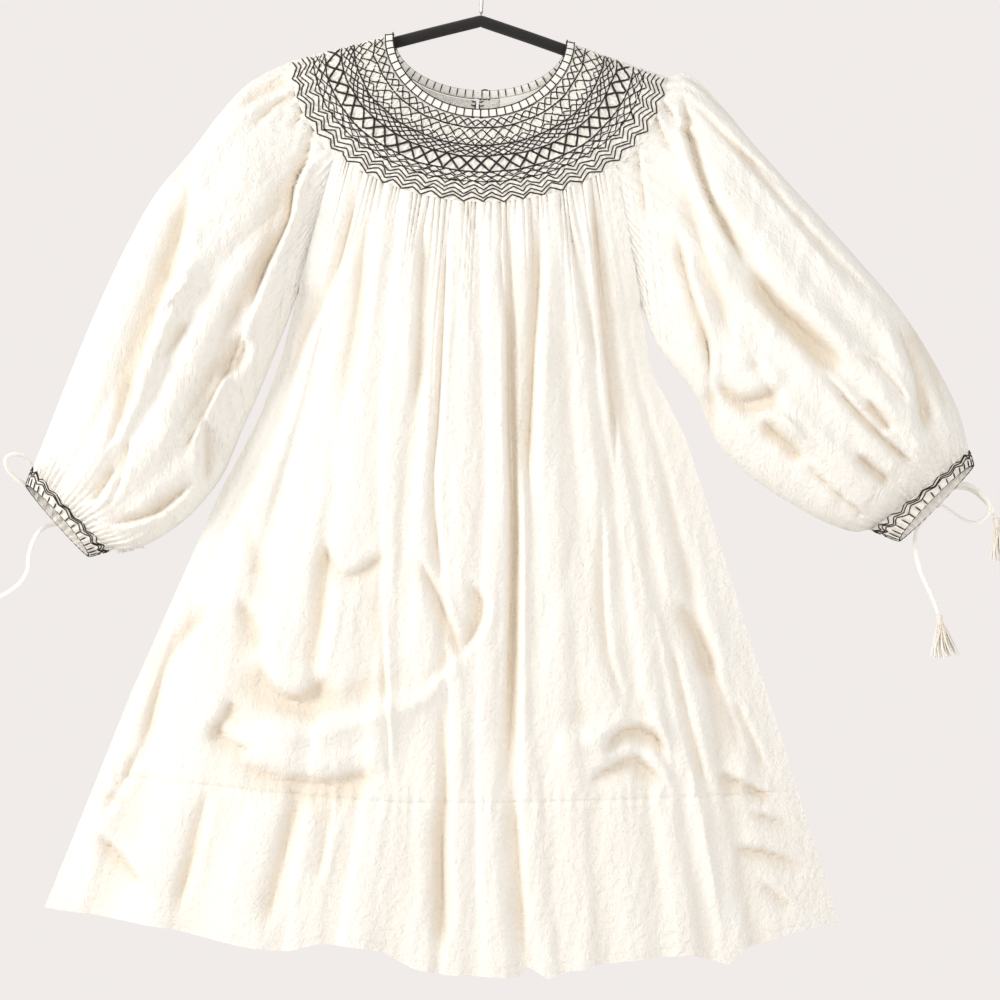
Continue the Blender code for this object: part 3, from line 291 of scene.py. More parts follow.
# Sleeves: place along, outer edge x and drop, inner edge x and drop, half depth
LEFT_SLEEVE = np.array([
    (0.00, -174.55, 28, -158.55, 240, 19),
    (0.06, -189, 35, -168, 272, 25),
    (0.14, -214, 51, -183, 315, 31),
    (0.22, -238, 79, -194, 345, 34),
    (0.30, -262, 114, -203, 367, 36),
    (0.40, -295, 158, -211, 389, 38),
    (0.50, -321, 210, -220, 412, 40),
    (0.62, -346, 271, -236, 437, 42),
    (0.74, -366, 326, -259, 462, 40),
    (0.86, -383, 375, -290, 483, 31),
    (1.00, -397, 414, -322, 489, 15),
], float)
RIGHT_SLEEVE = np.array([
    (0.00, 174.55, 28, 160.55, 240, 19),
    (0.06, 195, 24, 176, 276, 26),
    (0.14, 229, 54, 205, 308, 32),
    (0.22, 257, 85, 219, 329, 35),
    (0.30, 288, 117, 230, 353, 38),
    (0.40, 325, 154, 243, 373, 40),
    (0.50, 360, 190, 262, 390, 42),
    (0.62, 399, 232, 294, 411, 42),
    (0.74, 430, 275, 331, 430, 39),
    (0.86, 456, 320, 362, 441, 30),
    (1.00, 470, 361, 382, 439, 15),
], float)

# How far along the sleeve its seam's shape reaches, the gap at the seam, the share of the ring at the seam's
# corner, the width of a valley across, and how far the ring's points are drawn towards its two edges
SLEEVE_ROOT = 0.35
SLEEVE_GAP = 0.05
CORNER_SHARE = (1.0 - math.cos(2 * math.pi * 7 / 32)) / 2
SLEEVE_FOLD_WIDTH = 0.065
EDGE_SPACING = 0.2

# Sleeve valleys: side of the tube, place across from the outer edge, and depth, each at the levels along
SLEEVE_LEVELS = np.array([0.0, 0.25, 0.5, 0.75, 1.0])
LEFT_FOLDS = np.array([
    (-1, 0.16, 0.20, 0.26, 0.30, 0.30, 2, 6, 9, 7, 2),
    (-1, 0.34, 0.46, 0.50, 0.52, 0.52, 5, 10, 14, 10, 2),
    (-1, 0.52, 0.68, 0.76, 0.74, 0.72, 6, 13, 12, 9, 2),
    (-1, 0.74, 0.86, 0.90, 0.88, 0.86, 3, 6, 9, 8, 2),
    (1, 0.22, 0.26, 0.28, 0.30, 0.34, 3, 8, 10, 8, 2),
    (1, 0.48, 0.50, 0.50, 0.52, 0.54, 5, 9, 8, 10, 2),
    (1, 0.72, 0.74, 0.74, 0.76, 0.76, 4, 9, 12, 8, 2),
], float)
RIGHT_FOLDS = np.array([
    (-1, 0.14, 0.18, 0.22, 0.24, 0.26, 2, 4, 8, 8, 2),
    (-1, 0.34, 0.38, 0.42, 0.44, 0.46, 5, 12, 15, 11, 2),
    (-1, 0.52, 0.58, 0.60, 0.62, 0.64, 4, 8, 8, 9, 2),
    (-1, 0.72, 0.78, 0.80, 0.82, 0.82, 4, 8, 12, 8, 2),
    (1, 0.24, 0.26, 0.30, 0.30, 0.32, 3, 8, 10, 8, 2),
    (1, 0.46, 0.50, 0.52, 0.52, 0.54, 5, 10, 8, 9, 2),
    (1, 0.74, 0.74, 0.76, 0.74, 0.74, 4, 8, 12, 8, 2),
], float)

# Creases of the sleeves' front, laid out as the body's
LEFT_SLEEVE_CREASES = [
    (9, 9, [(-254, 116), (-269, 201), (-288, 275), (-301, 318), (-320, 391)]),
    (6, 6, [(-297, 325), (-312, 367), (-327, 401)]),
    (4, 9, [(-143, 95), (-164, 142), (-169, 177), (-188, 222), (-203, 271)]),
    (3, 5, [(-198, 262), (-221, 323), (-239, 360), (-260, 410)]),
    (9, 4, [(-172, 119), (-185, 194), (-212, 261), (-233, 308)]),
    (6, 3, [(-247, 206), (-280, 243)]),
    (3, -3, [(-243, 227), (-281, 271), (-291, 306)]),
    (8, 4, [(-254, 274), (-281, 315)]),
    (8, 4, [(-224, 303), (-244, 346), (-263, 382)]),
    (7, 7, [(-203, 284), (-207, 307), (-224, 330)]),
    (5, 5, [(-233, 429), (-237, 353)]),
    (4, 4, [(-304, 381), (-308, 414), (-319, 444)]),
    (4, 6, [(-240, 418), (-280, 452), (-326, 467)]),
    (4, 5, [(-314, 409), (-338, 450)]),
    (5, 6, [(-168, 43), (-195, 59), (-222, 77)]),
    (4, 4, [(-165, 59), (-187, 73), (-208, 98)]),
    (2.5, 4, [(-151, 55), (-170, 98)]),
    (2.5, 4, [(-144, 76), (-157, 120)]),
    (2.5, 3, [(-158, 50), (-181, 81)]),
    (5, 4, [(-255, 118), (-280, 152)]),
]
RIGHT_SLEEVE_CREASES = [
    (4, 8, [(256, 209), (218, 143), (197, 86), (188, 36)]),
    (9, 11, [(253, 199), (282, 236), (309, 258), (354, 297)]),
    (4, 6, [(322, 292), (372, 343), (425, 385)]),
    (4, 6, [(185, 159), (203, 224), (222, 277), (227, 336)]),
    (8, 4, [(190, 122), (223, 214), (253, 298)]),
    (9, 7, [(225, 303), (256, 326), (300, 310)]),
    (7, 5, [(257, 282), (274, 305), (286, 336)]),
    (6, 7, [(272, 341), (295, 359), (318, 381)]),
    (5, -4, [(264, 338), (289, 339), (317, 362)]),
    (8, 8, [(427, 357), (415, 298), (389, 238)]),
    (9, 4, [(450, 340), (426, 279), (399, 236)]),
    (7, 4, [(218, 65), (302, 158), (392, 242)]),
    (4, -2, [(208, 65), (276, 137), (354, 227)]),
    (3, 3, [(187, 20), (251, 76)]),
    (4, 3, [(196, 45), (241, 92), (297, 134)]),
    (3, 4, [(354, 276), (383, 292), (412, 329)]),
    (6, 6, [(367, 318), (395, 350)]),
    (5, 6, [(358, 368), (397, 397)]),
    (3, 4, [(312, 377), (348, 408), (382, 431)]),
    (5, 4, [(226, 311), (233, 364)]),
    (2.5, 4, [(149, 91), (162, 168)]),
    (2.5, 4, [(161, 60), (185, 104)]),
    (2.5, 4, [(166, 47), (203, 90)]),
]

# Cuffs: outer corner and inner corner of the free edge, x and drop
LEFT_CUFF_EDGE = ((-403.0, 433.0), (-343.0, 495.0))
RIGHT_CUFF_EDGE = ((475.0, 376.0), (410.0, 448.0))
CUFF_HALF_DEPTH = 13.0
CUFF_TILT = 4.0
CUFF_ARCH = 7.0
CUFF_RIBS = 16
CUFF_RELIEF = 0.9

# Hanger: arm route as x and drop, then the hook
ARM_ROUTE = np.array([(0, -17), (45, -3.8), (81, 7.2), (120, 19), (150, 28.2), (170, 35), (184, 44)], float)
ARM_HEIGHT = 11.0
ARM_THICKNESS = 6.0
HOOK_WIRE = 3.4
HOOK_INNER_RADIUS = 17.0
HOOK_FROM = -55.0
HOOK_TO = 195.0

# Ties: x, depth and drop of each route point, the front at minus
TIE_WIDTH = 4.0
TIE_STEP = 2.5
KNOT_SIZE = (5.0, 3.6, 4.6)
KNOT_GROOVE = 0.16
KNOT_GROOVE_WIDTH = 0.28
TAPE_HALF_THICKNESS = 0.75
LEFT_KNOT = (-367.5, 16.2, 463.0)
RIGHT_KNOT = (446.0, 15.5, 411.0)
LEFT_LOOP = [
    (-380.0, 16.6, 452.0), (-390.2, 17.5, 443.4), (-403.7, 16.0, 433.7),
    (-415.2, 13.0, 425.9), (-422.0, 10.0, 418.7), (-424.6, 8.0, 411.4), (-422.6, 8.0, 406.2),
    (-415.2, 10.0, 403.5), (-407.7, 14.0, 406.0), (-402.8, 17.5, 412.3), (-394.0, 20.0, 421.0),
    (-384.0, 22.5, 431.5), (-374.0, 24.0, 443.5), (-367.2, 24.5, 454.0),
]
LEFT_TAIL_SHOWN = [
    (-378.0, 14.8, 467.5), (-385.0, 12.0, 469.5), (-391.0, 7.0, 475.5),
    (-395.8, 5.0, 485.5), (-398.8, 4.0, 498.7), (-398.8, 3.0, 508.4), (-401.0, 3.0, 516.0),
    (-407.2, 2.0, 524.8), (-417.1, 2.0, 532.7), (-425.0, 2.0, 537.0),
]
LEFT_TAIL_HIDDEN = [
    (-357.5, 21.5, 457.5), (-350.0, 25.5, 449.0), (-340.0, 30.0, 442.5), (-328.0, 34.0, 440.0),
    (-320.5, 36.0, 443.5), (-318.5, 36.5, 450.0),
]
RIGHT_LOOP = [
    (452.6, 15.0, 401.0), (458.0, 14.0, 396.5), (463.5, 13.0, 393.9), (471.0, 10.0, 393.2),
    (478.5, 8.0, 396.2), (485.5, 6.0, 402.1), (492.0, 5.0, 410.0), (492.5, 6.0, 418.5),
    (486.6, 9.0, 426.0), (478.9, 12.0, 428.4), (468.1, 15.0, 424.7), (457.5, 16.9, 417.4),
]
RIGHT_TAIL_SIDE = [
    (448.5, 26.0, 406.8), (454.5, 27.0, 400.5), (462.0, 23.5, 396.5), (474.0, 18.0, 397.0),
    (483.0, 14.5, 401.8), (490.5, 12.0, 408.6), (496.5, 11.0, 415.0),
    (499.5, 10.5, 422.0),
]
RIGHT_TAIL_DOWN = [
    (440.0, 17.6, 419.0), (435.0, 17.8, 426.0), (430.0, 17.5, 434.0), (426.6, 16.5, 442.7),
    (426.5, 15.0, 452.4), (428.4, 13.0, 464.0), (431.8, 11.0, 475.5), (436.6, 10.0, 486.0),
    (441.9, 9.0, 496.0), (447.2, 8.5, 507.3), (449.8, 8.0, 514.5),
]

# Tassels: their sizes, and the wrapped head's radius as a share and distance from its top
TASSEL_HEAD_RADIUS = 3.3
TASSEL_HEAD_LENGTH = 9.0
TASSEL_LENGTH = 41.0
TASSEL_SPREAD = 15.0
TASSEL_WEIGHT = 0.9
TASSEL_NECK = 1.0
TASSEL_STRANDS = 60
STRAND_HALF_WIDTH = 0.7
TASSEL_PROFILE = np.array([
    (0.3, 0.0), (0.8, 0.3), (1.0, 1.6), (0.98, 3.2), (0.8, 4.4), (0.86, 5.0), (0.78, 5.6), (0.86, 6.2),
    (0.8, 6.8), (1.0, 8.0), (0.9, 9.0),
])

# Closure at the top of the back slit, the button's radii and depths, and the tab inside the neck
BUTTON_RADIUS = 4.5
BUTTON_X = 6.5
BUTTON_PROFILE = [
    (0.5, 0.0), (3.6, 0.0), (4.3, 0.5), (4.5, 1.2), (4.3, 1.9), (3.6, 2.3), (3.0, 2.2), (2.6, 1.8),
    (0.5, 1.7),
]
LOOP_THREAD = 1.2
CLOSURE_GAP = 1.9
LABEL_FROM_X = 21.0
LABEL_TO_X = 65.0
LABEL_HEIGHT = 13.0
LABEL_THICKNESS = 1.0
LABEL_CLEARANCE = 0.9

# Smocking threads: shares down the yoke at the zigzag's top and bottom, periods round the half yoke,
# phase of a period, half width of the thread
SMOCKING_ROWS = np.array([
    (0.008, 0.104, 17, 0.0, 0.66),
    (0.008, 0.104, 17, 0.5, 0.66),
    (0.115, 0.115, 12, 0.0, 0.80),
    (0.128, 0.262, 14, 0.25, 0.64),
    (0.128, 0.262, 14, 0.75, 0.64),
    (0.245, 0.318, 21, 0.0, 0.58),
    (0.245, 0.318, 21, 0.5, 0.58),
    (0.325, 0.325, 12, 0.0, 0.80),
    (0.335, 0.392, 20, 0.0, 0.66),
    (0.335, 0.392, 20, 0.5, 0.66),
    (0.388, 0.446, 20, 0.0, 0.66),
    (0.388, 0.446, 20, 0.5, 0.66),
    (0.456, 0.456, 12, 0.0, 0.80),
    (0.462, 0.632, 14, 0.5, 1.10),
    (0.462, 0.632, 14, 0.0, 1.10),
    (0.640, 0.640, 12, 0.0, 0.75),
    (0.640, 0.705, 19, 0.25, 0.54),
    (0.640, 0.705, 19, 0.75, 0.54),
    (0.690, 0.752, 19, 0.0, 0.52),
    (0.690, 0.752, 19, 0.5, 0.52),
    (0.758, 0.758, 12, 0.0, 0.55),
    (0.742, 0.806, 25, 0.0, 0.66),
    (0.792, 0.856, 25, 0.0, 0.70),
    (0.842, 0.904, 25, 0.0, 0.66),
    (0.888, 0.950, 25, 0.0, 0.70),
    (0.936, 0.998, 25, 0.0, 0.74),
], float)

# Shares of the way round each yoke that hold thread, and the number, sway, painted shade and relief of its
# pleats
FRONT_SPANS = [(0.004, 0.996)]
BACK_SPANS = [(0.004, 0.465), (0.535, 0.996)]
SMOCKING_PLEATS = 72
SMOCKING_SWAYS = 11
SMOCKING_SWAY = 0.22
FRONT_YOKE_PAINTED_SHADE = 0.35
BACK_YOKE_PAINTED_SHADE = 0.3
BACK_INNER_PLEATS = 0.9
SMOCKING_RELIEF = 1.1
SMOCKING_WOBBLE = 0.0055

# Sewing: half widths of the threads, the stitches' numbers and lengths, and the binding stitch's steps as
# shares of the binding's height and thickness
BINDING_THREAD = 0.6
BINDING_STITCHES = 64
STITCH_OVER = np.array([(0.5, 0.30), (0.32, 0.52), (0.0, 0.56), (-0.32, 0.52), (-0.52, 0.30), (-0.56, 0.0)])
STITCH_INSIDE = np.array([(-0.50, -0.28), (-0.36, -0.54), (0.05, -0.62), (0.42, -0.60)])
SLIT_THREAD = 0.75
SLIT_EDGE_THREAD = 0.7
SLIT_STITCHES = 18
CUFF_THREAD = 0.58
CUFF_EDGE_THREAD = 0.5
CUFF_STITCH_THREAD = 0.72
CUFF_ZIGZAGS = 18
CUFF_STITCHES = 34
TOPSTITCH_THREAD = 0.32
TOPSTITCH_SPACING = 3.6
TOPSTITCH_LENGTH = 2.2
TOPSTITCH_ROWS = (1.012, 1.235)

# Cuff zigzags: shares along the cuff at their tops and bottoms
CUFF_ROWS = ((0.0, 0.26), (0.15, 0.41), (0.32, 0.56))

# Finishes: colour unless a setting gives it, roughness, sheen, noise scale, bump in metres, share of metal
NOISE_DETAIL = 3.0
NOISE_STRENGTH = 0.7
THREAD_FINISH = (0.7, 0.05, 1800.0, 0.0002)
BUTTON_FINISH = ((0.82, 0.79, 0.72), 0.35, 0.0, 300.0, 0.0001)
FLOCK_FINISH = ((0.010, 0.007, 0.008), 0.95, 0.4, 2600.0, 0.0005)
STEEL_FINISH = ((0.5, 0.5, 0.51), 0.3, 0.0, 400.0, 0.00003, 1.0)
COTTON_ROUGHNESS = 0.55
COTTON_GLOSS = 0.45
TAPE_CRINKLE = 0.15

# Bumps of the cotton: scales across and down in each metre, detail, distortion and height in metres
COTTON_BUMPS = (
    (170.0, 140.0, 2.0, 0.3, 0.0013),
    (430.0, 360.0, 2.0, 0.2, 0.0006),
    (1500.0, 260.0, 1.0, 0.0, 0.00012),
)

# Stage in metres. The backdrop lies beyond every camera, so that the dress is seen from behind as well
BACKDROP_Y = 4.8
BACKDROP_HALF_WIDTH = 24.0
BACKDROP_HEIGHTS = (-18.5, 17.5)
FLOOR_Z = -1.6
FLOOR_HALF_WIDTH = 6.0
FLOOR_DEPTHS = (-5.0, 1.2)
FLOOR_COLOUR = (0.8, 0.78, 0.76)
LIGHT_TARGET = (0.0, 0.0, -0.5)
KEY_LIGHT = ((-2.5, -1.25, 0.25), 1.2, (1.0, 0.985, 0.95))
FILL_LIGHT = ((1.0, -2.6, 0.35), 1.8, (1.0, 0.99, 0.98))
ROOM_COLOUR = (1.0, 0.975, 0.945)

# Camera, from where the photo's centre falls on the dress
CAMERA_PLACE = (0.0372, -2.58, -0.5266)
CAMERA_LENS = 100.0
CAMERA_SENSOR = 36.0
CAMERA_ROLL = 2.5


def smoothstep(value):
    value = np.clip(value, 0.0, 1.0)
    return value * value * (3.0 - 2.0 * value)


def table_column(table, column, where):
    return np.interp(where, table[:, 0], table[:, column])


def smooth_between(where, places, values):
    """Cubic curve through the values at the places, with each value's slope taken from its neighbours."""
    slopes = np.gradient(values, places)
    index = np.clip(np.searchsorted(places, where) - 1, 0, len(places) - 2)
    span = places[index + 1] - places[index]
    part = np.clip((where - places[index]) / span, 0.0, 1.0)
    square, cube = part ** 2, part ** 3
    return (
        (2 * cube - 3 * square + 1) * values[index]
        + (cube - 2 * square + part) * span * slopes[index]
        + (3 * square - 2 * cube) * values[index + 1]
        + (cube - square) * span * slopes[index + 1]
    )


def at(x, y, drop):
    """Points of the garment frame from x, depth and drop, origin at the hook's inner top."""
    x, y, drop = np.broadcast_arrays(np.asarray(x, float), np.asarray(y, float), np.asarray(drop, float))
    return np.stack([x, y, -(drop + HOOK_ABOVE_NECK)], axis=-1)


def unit(ways):
    return ways / np.maximum(np.linalg.norm(ways, axis=-1, keepdims=True), 1e-9)


def facing_of(front):
    return -1.0 if front else 1.0


def lengths(points):
    """Distance along a row of points up to each of them."""
    return np.concatenate([[0.0], np.cumsum(np.linalg.norm(np.diff(points, axis=0), axis=1))])


def between(where, marks, points):
    """Points at the places where, between points that lie at the marks."""
    return np.stack([np.interp(where, marks, column) for column in points.T], axis=-1)


def smooth_route(points, step):
    """Even points on a smooth curve through the route points."""
    points = np.asarray(points, float)
    padded = np.vstack([2 * points[0] - points[1], points, 2 * points[-1] - points[-2]])
    found = []
    for index in range(1, len(padded) - 2):
        before, one, two, after = padded[index - 1 : index + 3]
        part = np.linspace(0.0, 1.0, 12, endpoint=False)[:, None]
        found.append(0.5 * (
            2 * one
            + (two - before) * part
            + (2 * before - 5 * one + 4 * two - after) * part ** 2
            + (3 * one - before - 3 * two + after) * part ** 3
        ))
    found = np.vstack(found + [points[-1:]])
    length = lengths(found)
    even = np.linspace(0.0, length[-1], max(4, int(round(length[-1] / step)) + 1))
    return between(even, length, found)


def waves(across, down, seed, count, shortest, longest, stretch):
    """Sum of seeded sine waves over two lengths in millimetres, from -1 to 1; stretch lengthens them down."""
    chance = np.random.default_rng(seed)
    total = np.zeros(np.broadcast(across, down).shape)
    for _ in range(count):
        length = chance.uniform(shortest, longest)
        way = chance.uniform(-1.1, 1.1)
        phase = chance.uniform(0, 2 * np.pi)
        total += np.sin(2 * np.pi * (across * np.cos(way) + down * np.sin(way) / stretch) / length + phase)
    return total / math.sqrt(count)


def sharp_waves(across, down, seed, count, shortest, longest, stretch):
    """Mean of seeded folded waves from -1 to 1: broad rounded backs that meet in narrow valleys."""
    chance = np.random.default_rng(seed)
    bend = 9.0 * waves(across, down, seed + 1, 4, 90, 240, stretch)
    total = np.zeros(np.broadcast(across, down).shape)
    for _ in range(count):
        length = chance.uniform(shortest, longest)
        way = chance.uniform(-0.9, 0.9)
        phase = chance.uniform(0, np.pi)
        place = (across + bend) * np.cos(way) + down * np.sin(way) / stretch
        total += 2.0 * np.abs(np.sin(np.pi * place / length + phase)) - 1.27
    return total / math.sqrt(count)


# Meshes
def outward_faces(points, faces):
    """The same faces turned so that the closed surface has a volume above zero."""
    total = 0.0
    for group in faces:
        first = points[group[:, 0]]
        for corner in range(1, group.shape[1] - 1):
            turned = np.cross(points[group[:, corner]], points[group[:, corner + 1]])
            total += float((first * turned).sum())
    return [group[:, ::-1] for group in faces] if total < 0 else faces


def add_piece(name, points, faces, shader, nodes=(), uv=None, painted_shade=None):
    """Object from points in millimetres and groups of faces with equal corners, on the hanger's body."""
    points = np.ascontiguousarray(points, float) * MM
    faces = outward_faces(points, faces)
    corners = np.concatenate([group.ravel() for group in faces]).astype(np.int32)
    sizes = np.concatenate([np.full(len(group), group.shape[1]) for group in faces])
    starts = np.concatenate([[0], np.cumsum(sizes)[:-1]]).astype(np.int32)
    mesh = bpy.data.meshes.new(name)
    mesh.vertices.add(len(points))
    mesh.vertices.foreach_set("co", points.astype(np.float32).ravel())
    mesh.loops.add(len(corners))
    mesh.loops.foreach_set("vertex_index", corners)
    mesh.polygons.add(len(sizes))
    mesh.polygons.foreach_set("loop_start", starts)
    mesh.update(calc_edges=True)
    mesh.polygons.foreach_set("use_smooth", np.ones(len(sizes), bool))
    if uv is not None:
        layer = mesh.uv_layers.new(name="cloth")
        layer.data.foreach_set("uv", (uv[corners] * MM).astype(np.float32).ravel())
    # Share of painted shade at each point, which the cotton's shader mixes in
    shade = mesh.attributes.new("painted_shade", "FLOAT", "POINT")
    values = np.zeros(len(points)) if painted_shade is None else painted_shade
    shade.data.foreach_set("value", np.asarray(values, np.float32).ravel())
    mesh.set_sharp_from_angle(angle=math.radians(SHARP_ANGLE))
    mesh.materials.append(shader)
    obj = bpy.data.objects.new(name + "_shown" if nodes else name, mesh)
    bpy.context.scene.collection.objects.link(obj)
    if nodes:
        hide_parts(*nodes)
    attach(obj, "root")
    return obj


def quads_of(numbers):
    """Quads between the neighbouring rows and columns of a grid of point numbers."""
    corners = [numbers[:-1, :-1], numbers[:-1, 1:], numbers[1:, 1:], numbers[1:, :-1]]
    return np.stack(corners, axis=-1).reshape(-1, 4)


def rim_quads(edge, count, turned):
    """Quads that join one edge of the outer grid to the same edge of the inner grid."""
    one, two = edge[:-1], edge[1:]
    quads = np.stack([one, two, two + count, one + count], axis=-1)
    return quads[:, ::-1] if turned else quads


def add_wall(name, outer, inner, shader, nodes, uv, painted_shade, closed=False):
    """Thin cloth between two grids of points of the same size, closed round its rims."""
    rows, columns = outer.shape[:2]
    count = rows * columns
    numbers = np.arange(count).reshape(rows, columns)
    quads = quads_of(np.hstack([numbers, numbers[:, :1]]) if closed else numbers)
    first, last = numbers[0], numbers[-1]
    if closed:
        first, last = np.append(first, first[0]), np.append(last, last[0])
    groups = [quads, quads[:, ::-1] + count, rim_quads(first, count, True), rim_quads(last, count, False)]
    if not closed:
        groups += [rim_quads(numbers[:, 0], count, False), rim_quads(numbers[:, -1], count, True)]
    points = np.concatenate([outer.reshape(-1, 3), inner.reshape(-1, 3)])
    both = np.concatenate([uv.reshape(-1, 2), uv.reshape(-1, 2)])
    shade = np.concatenate([painted_shade.ravel(), painted_shade.ravel()])
    return add_piece(name, points, [np.concatenate(groups)], shader, nodes, both, shade)


def tube_points(paths, normals, half_wide, half_high, sides, closed, taper=0.45):
    """Rings round several paths at once: ellipses across each path, with the flat side to the normal."""
    if closed:
        along = np.roll(paths, -1, axis=1) - np.roll(paths, 1, axis=1)
    else:
        along = np.gradient(paths, axis=1)
    along = unit(along)
    normals = unit(normals - (normals * along).sum(-1, keepdims=True) * along)
    beside = np.cross(along, normals)
    turn = np.linspace(0, 2 * np.pi, sides, endpoint=False)
    scale = np.ones(paths.shape[1])
    if not closed:
        scale[[0, -1]] = taper
    wide = (half_wide * scale)[None, :, None, None]
    high = (half_high * scale)[None, :, None, None]
    return (
        paths[:, :, None, :]
        + wide * np.cos(turn)[None, None, :, None] * beside[:, :, None, :]
        + high * np.sin(turn)[None, None, :, None] * normals[:, :, None, :]
    )


def tube_groups(rings, closed):
    """Faces of tube rings: quads along each tube and, on open tubes, a cap at each end."""
    many, count, sides = rings.shape[:3]
    ring_rows = count + 1 if closed else count
    numbers = np.arange(count * sides).reshape(count, sides)
    numbers = np.vstack([numbers, numbers[:1]])[:ring_rows]
    numbers = np.hstack([numbers, numbers[:, :1]])
    quads = quads_of(numbers)
    shift = (np.arange(many) * count * sides)[:, None, None]
    groups = [(quads[None] + shift).reshape(-1, 4)]
    if not closed:
        caps = np.stack([np.arange(sides)[::-1], (count - 1) * sides + np.arange(sides)])
        groups.append((caps[None] + shift).reshape(-1, sides))
    return groups


def add_tube(name, rings, shader, nodes, uv=None):
    """Object from the rings of one tube with its two caps."""
    return add_piece(name, rings.reshape(-1, 3), tube_groups(rings[None], False), shader, nodes, uv)


class Threads:
    """Collects tubes of several sizes so that they make one mesh."""

    def __init__(self):
        self.points = []
        self.groups = {}
        self.count = 0

    def add(self, paths, normals, half_wide, half_high=None, sides=5, closed=False, taper=0.45):
        rings = tube_points(paths, normals, half_wide, half_high or half_wide, sides, closed, taper)
        for group in tube_groups(rings, closed):
            self.groups.setdefault(group.shape[1], []).append(group + self.count)
        self.points.append(rings.reshape(-1, 3))
        self.count += rings.shape[0] * rings.shape[1] * sides

    def make(self, name, shader, nodes=(), painted_shade=None):
        points = np.concatenate(self.points)
        groups = [np.concatenate(group) for group in self.groups.values()]
        uv = points[:, [0, 2]]
        return add_piece(name, points, groups, shader, nodes, uv, painted_shade)


# Body panels and hem bands
def yoke_edge_drop(x, out=0.0):
    share = np.clip(1.0 - (x / (YOKE_HALF_WIDTH + out)) ** 2, 0.0, 1.0)
    return SHOULDER_END_DROP + (YOKE_DROP + out) * np.sqrt(share)


def body_outline(across, down):
    """x and drop of a body point: across -1 to 1, down 0 at the yoke, 1 at the seam, past 1 on the band."""
    seam_side = np.where(across < 0, SEAM_TABLE[0, 1], SEAM_TABLE[-1, 1])
    hem_side = np.where(across < 0, HEM_TABLE[0, 1], HEM_TABLE[-1, 1])
    start = yoke_edge_drop(RAGLAN_TOP_X, SEAM_GAP)
    on_band = (down - 1.0) / HEM_SPAN
    side_above, side_below = start + (seam_side - start) * down, seam_side + (hem_side - seam_side) * on_band
    side = np.where(down < 1, side_above, side_below)
    flow = SIDE_TABLE[FLOW_ROWS]
    edge = np.where(across < 0, table_column(SIDE_TABLE, 1, side), table_column(SIDE_TABLE, 2, side))
    inside = np.where(
        across < 0, smooth_between(side, flow[:, 0], flow[:, 1]), smooth_between(side, flow[:, 0], flow[:, 2])
    )
    half = inside + (edge - inside) * np.abs(across) ** 8
    top = yoke_edge_drop(RAGLAN_TOP_X * across)
    seam = table_column(SEAM_TABLE, 1, across)
    hem = table_column(HEM_TABLE, 1, across)
    return across * half, np.where(down < 1, top + (seam - top) * down, seam + (hem - seam) * on_band)


def shoulder_depth(x, drop, chest):
    below = (drop - SHOULDER_SLOPE * (np.abs(x) - NECK_HALF_WIDTH)) * np.cos(np.arctan(SHOULDER_SLOPE))
    return chest * (1.0 - np.exp(-np.clip(below, 0.0, None) / SHOULDER_ROUNDING))


def middle_bulge(across):
    return 1.0 - np.abs(np.clip(across, -1.0, 1.0)) ** 2.4


def side_depth(drop, chest):
    share = np.clip((drop - SIDE_TABLE[0, 0]) / (UNDERARM_DROP - SIDE_TABLE[0, 0]), 0.0, 1.0)
    return chest * np.sqrt(1.0 - share ** 2)


def panel_edge_depth(across, drop, chest):
    """The side's depth at the sides, and a slower fall of the same depth at the middle."""
    share = (drop - SIDE_TABLE[0, 0]) / (UNDERARM_DROP - SIDE_TABLE[0, 0])
    at_side = side_depth(drop, chest)
    at_middle = chest * (1.0 - smoothstep(share / 1.8))
    weight = np.abs(across) ** 6
    return at_side * weight + at_middle * (1 - weight)


def fold_columns(folds, down, per_fold):
    """Place across and fold relief on a grid whose columns follow the valleys.

    Between two valleys the relief is a power of a raised cosine: narrow at the valley, round at the ridge.
    Each ridge leans to one side, so that one flank is steep and the other slopes gently."""
    count = len(FOLD_LEVELS)
    places = np.stack([smooth_between(down, FOLD_LEVELS, row[:count]) for row in folds], axis=-1)
    depths = np.stack([smooth_between(down, FOLD_LEVELS, row[count:]) for row in folds], axis=-1)
    rows = len(places)
    places = np.hstack([-np.ones((rows, 1)), places, np.ones((rows, 1))])
    depths = np.hstack([np.zeros((rows, 1)), depths, np.zeros((rows, 1))])
    phase = np.linspace(0, places.shape[1] - 1, (places.shape[1] - 1) * per_fold + 1)
    index = np.minimum(phase.astype(int), places.shape[1] - 2)
    part = phase - index
    across = places[:, index] * (1 - part) + places[:, index + 1] * part
    depth = depths[:, index] * (1 - smoothstep(part)) + depths[:, index + 1] * smoothstep(part)
    lean = np.random.default_rng(SEED).uniform(0.6, 1.65, places.shape[1])[index]
    eased = FOLD_LIMIT * np.tanh(depth / FOLD_LIMIT)
    shape = (0.5 + 0.5 * np.cos(2 * np.pi * part ** lean)) ** (1.3 + depth * 0.06)
    return across, FOLD_DEEPENING * eased * (FOLD_LIFT - shape)


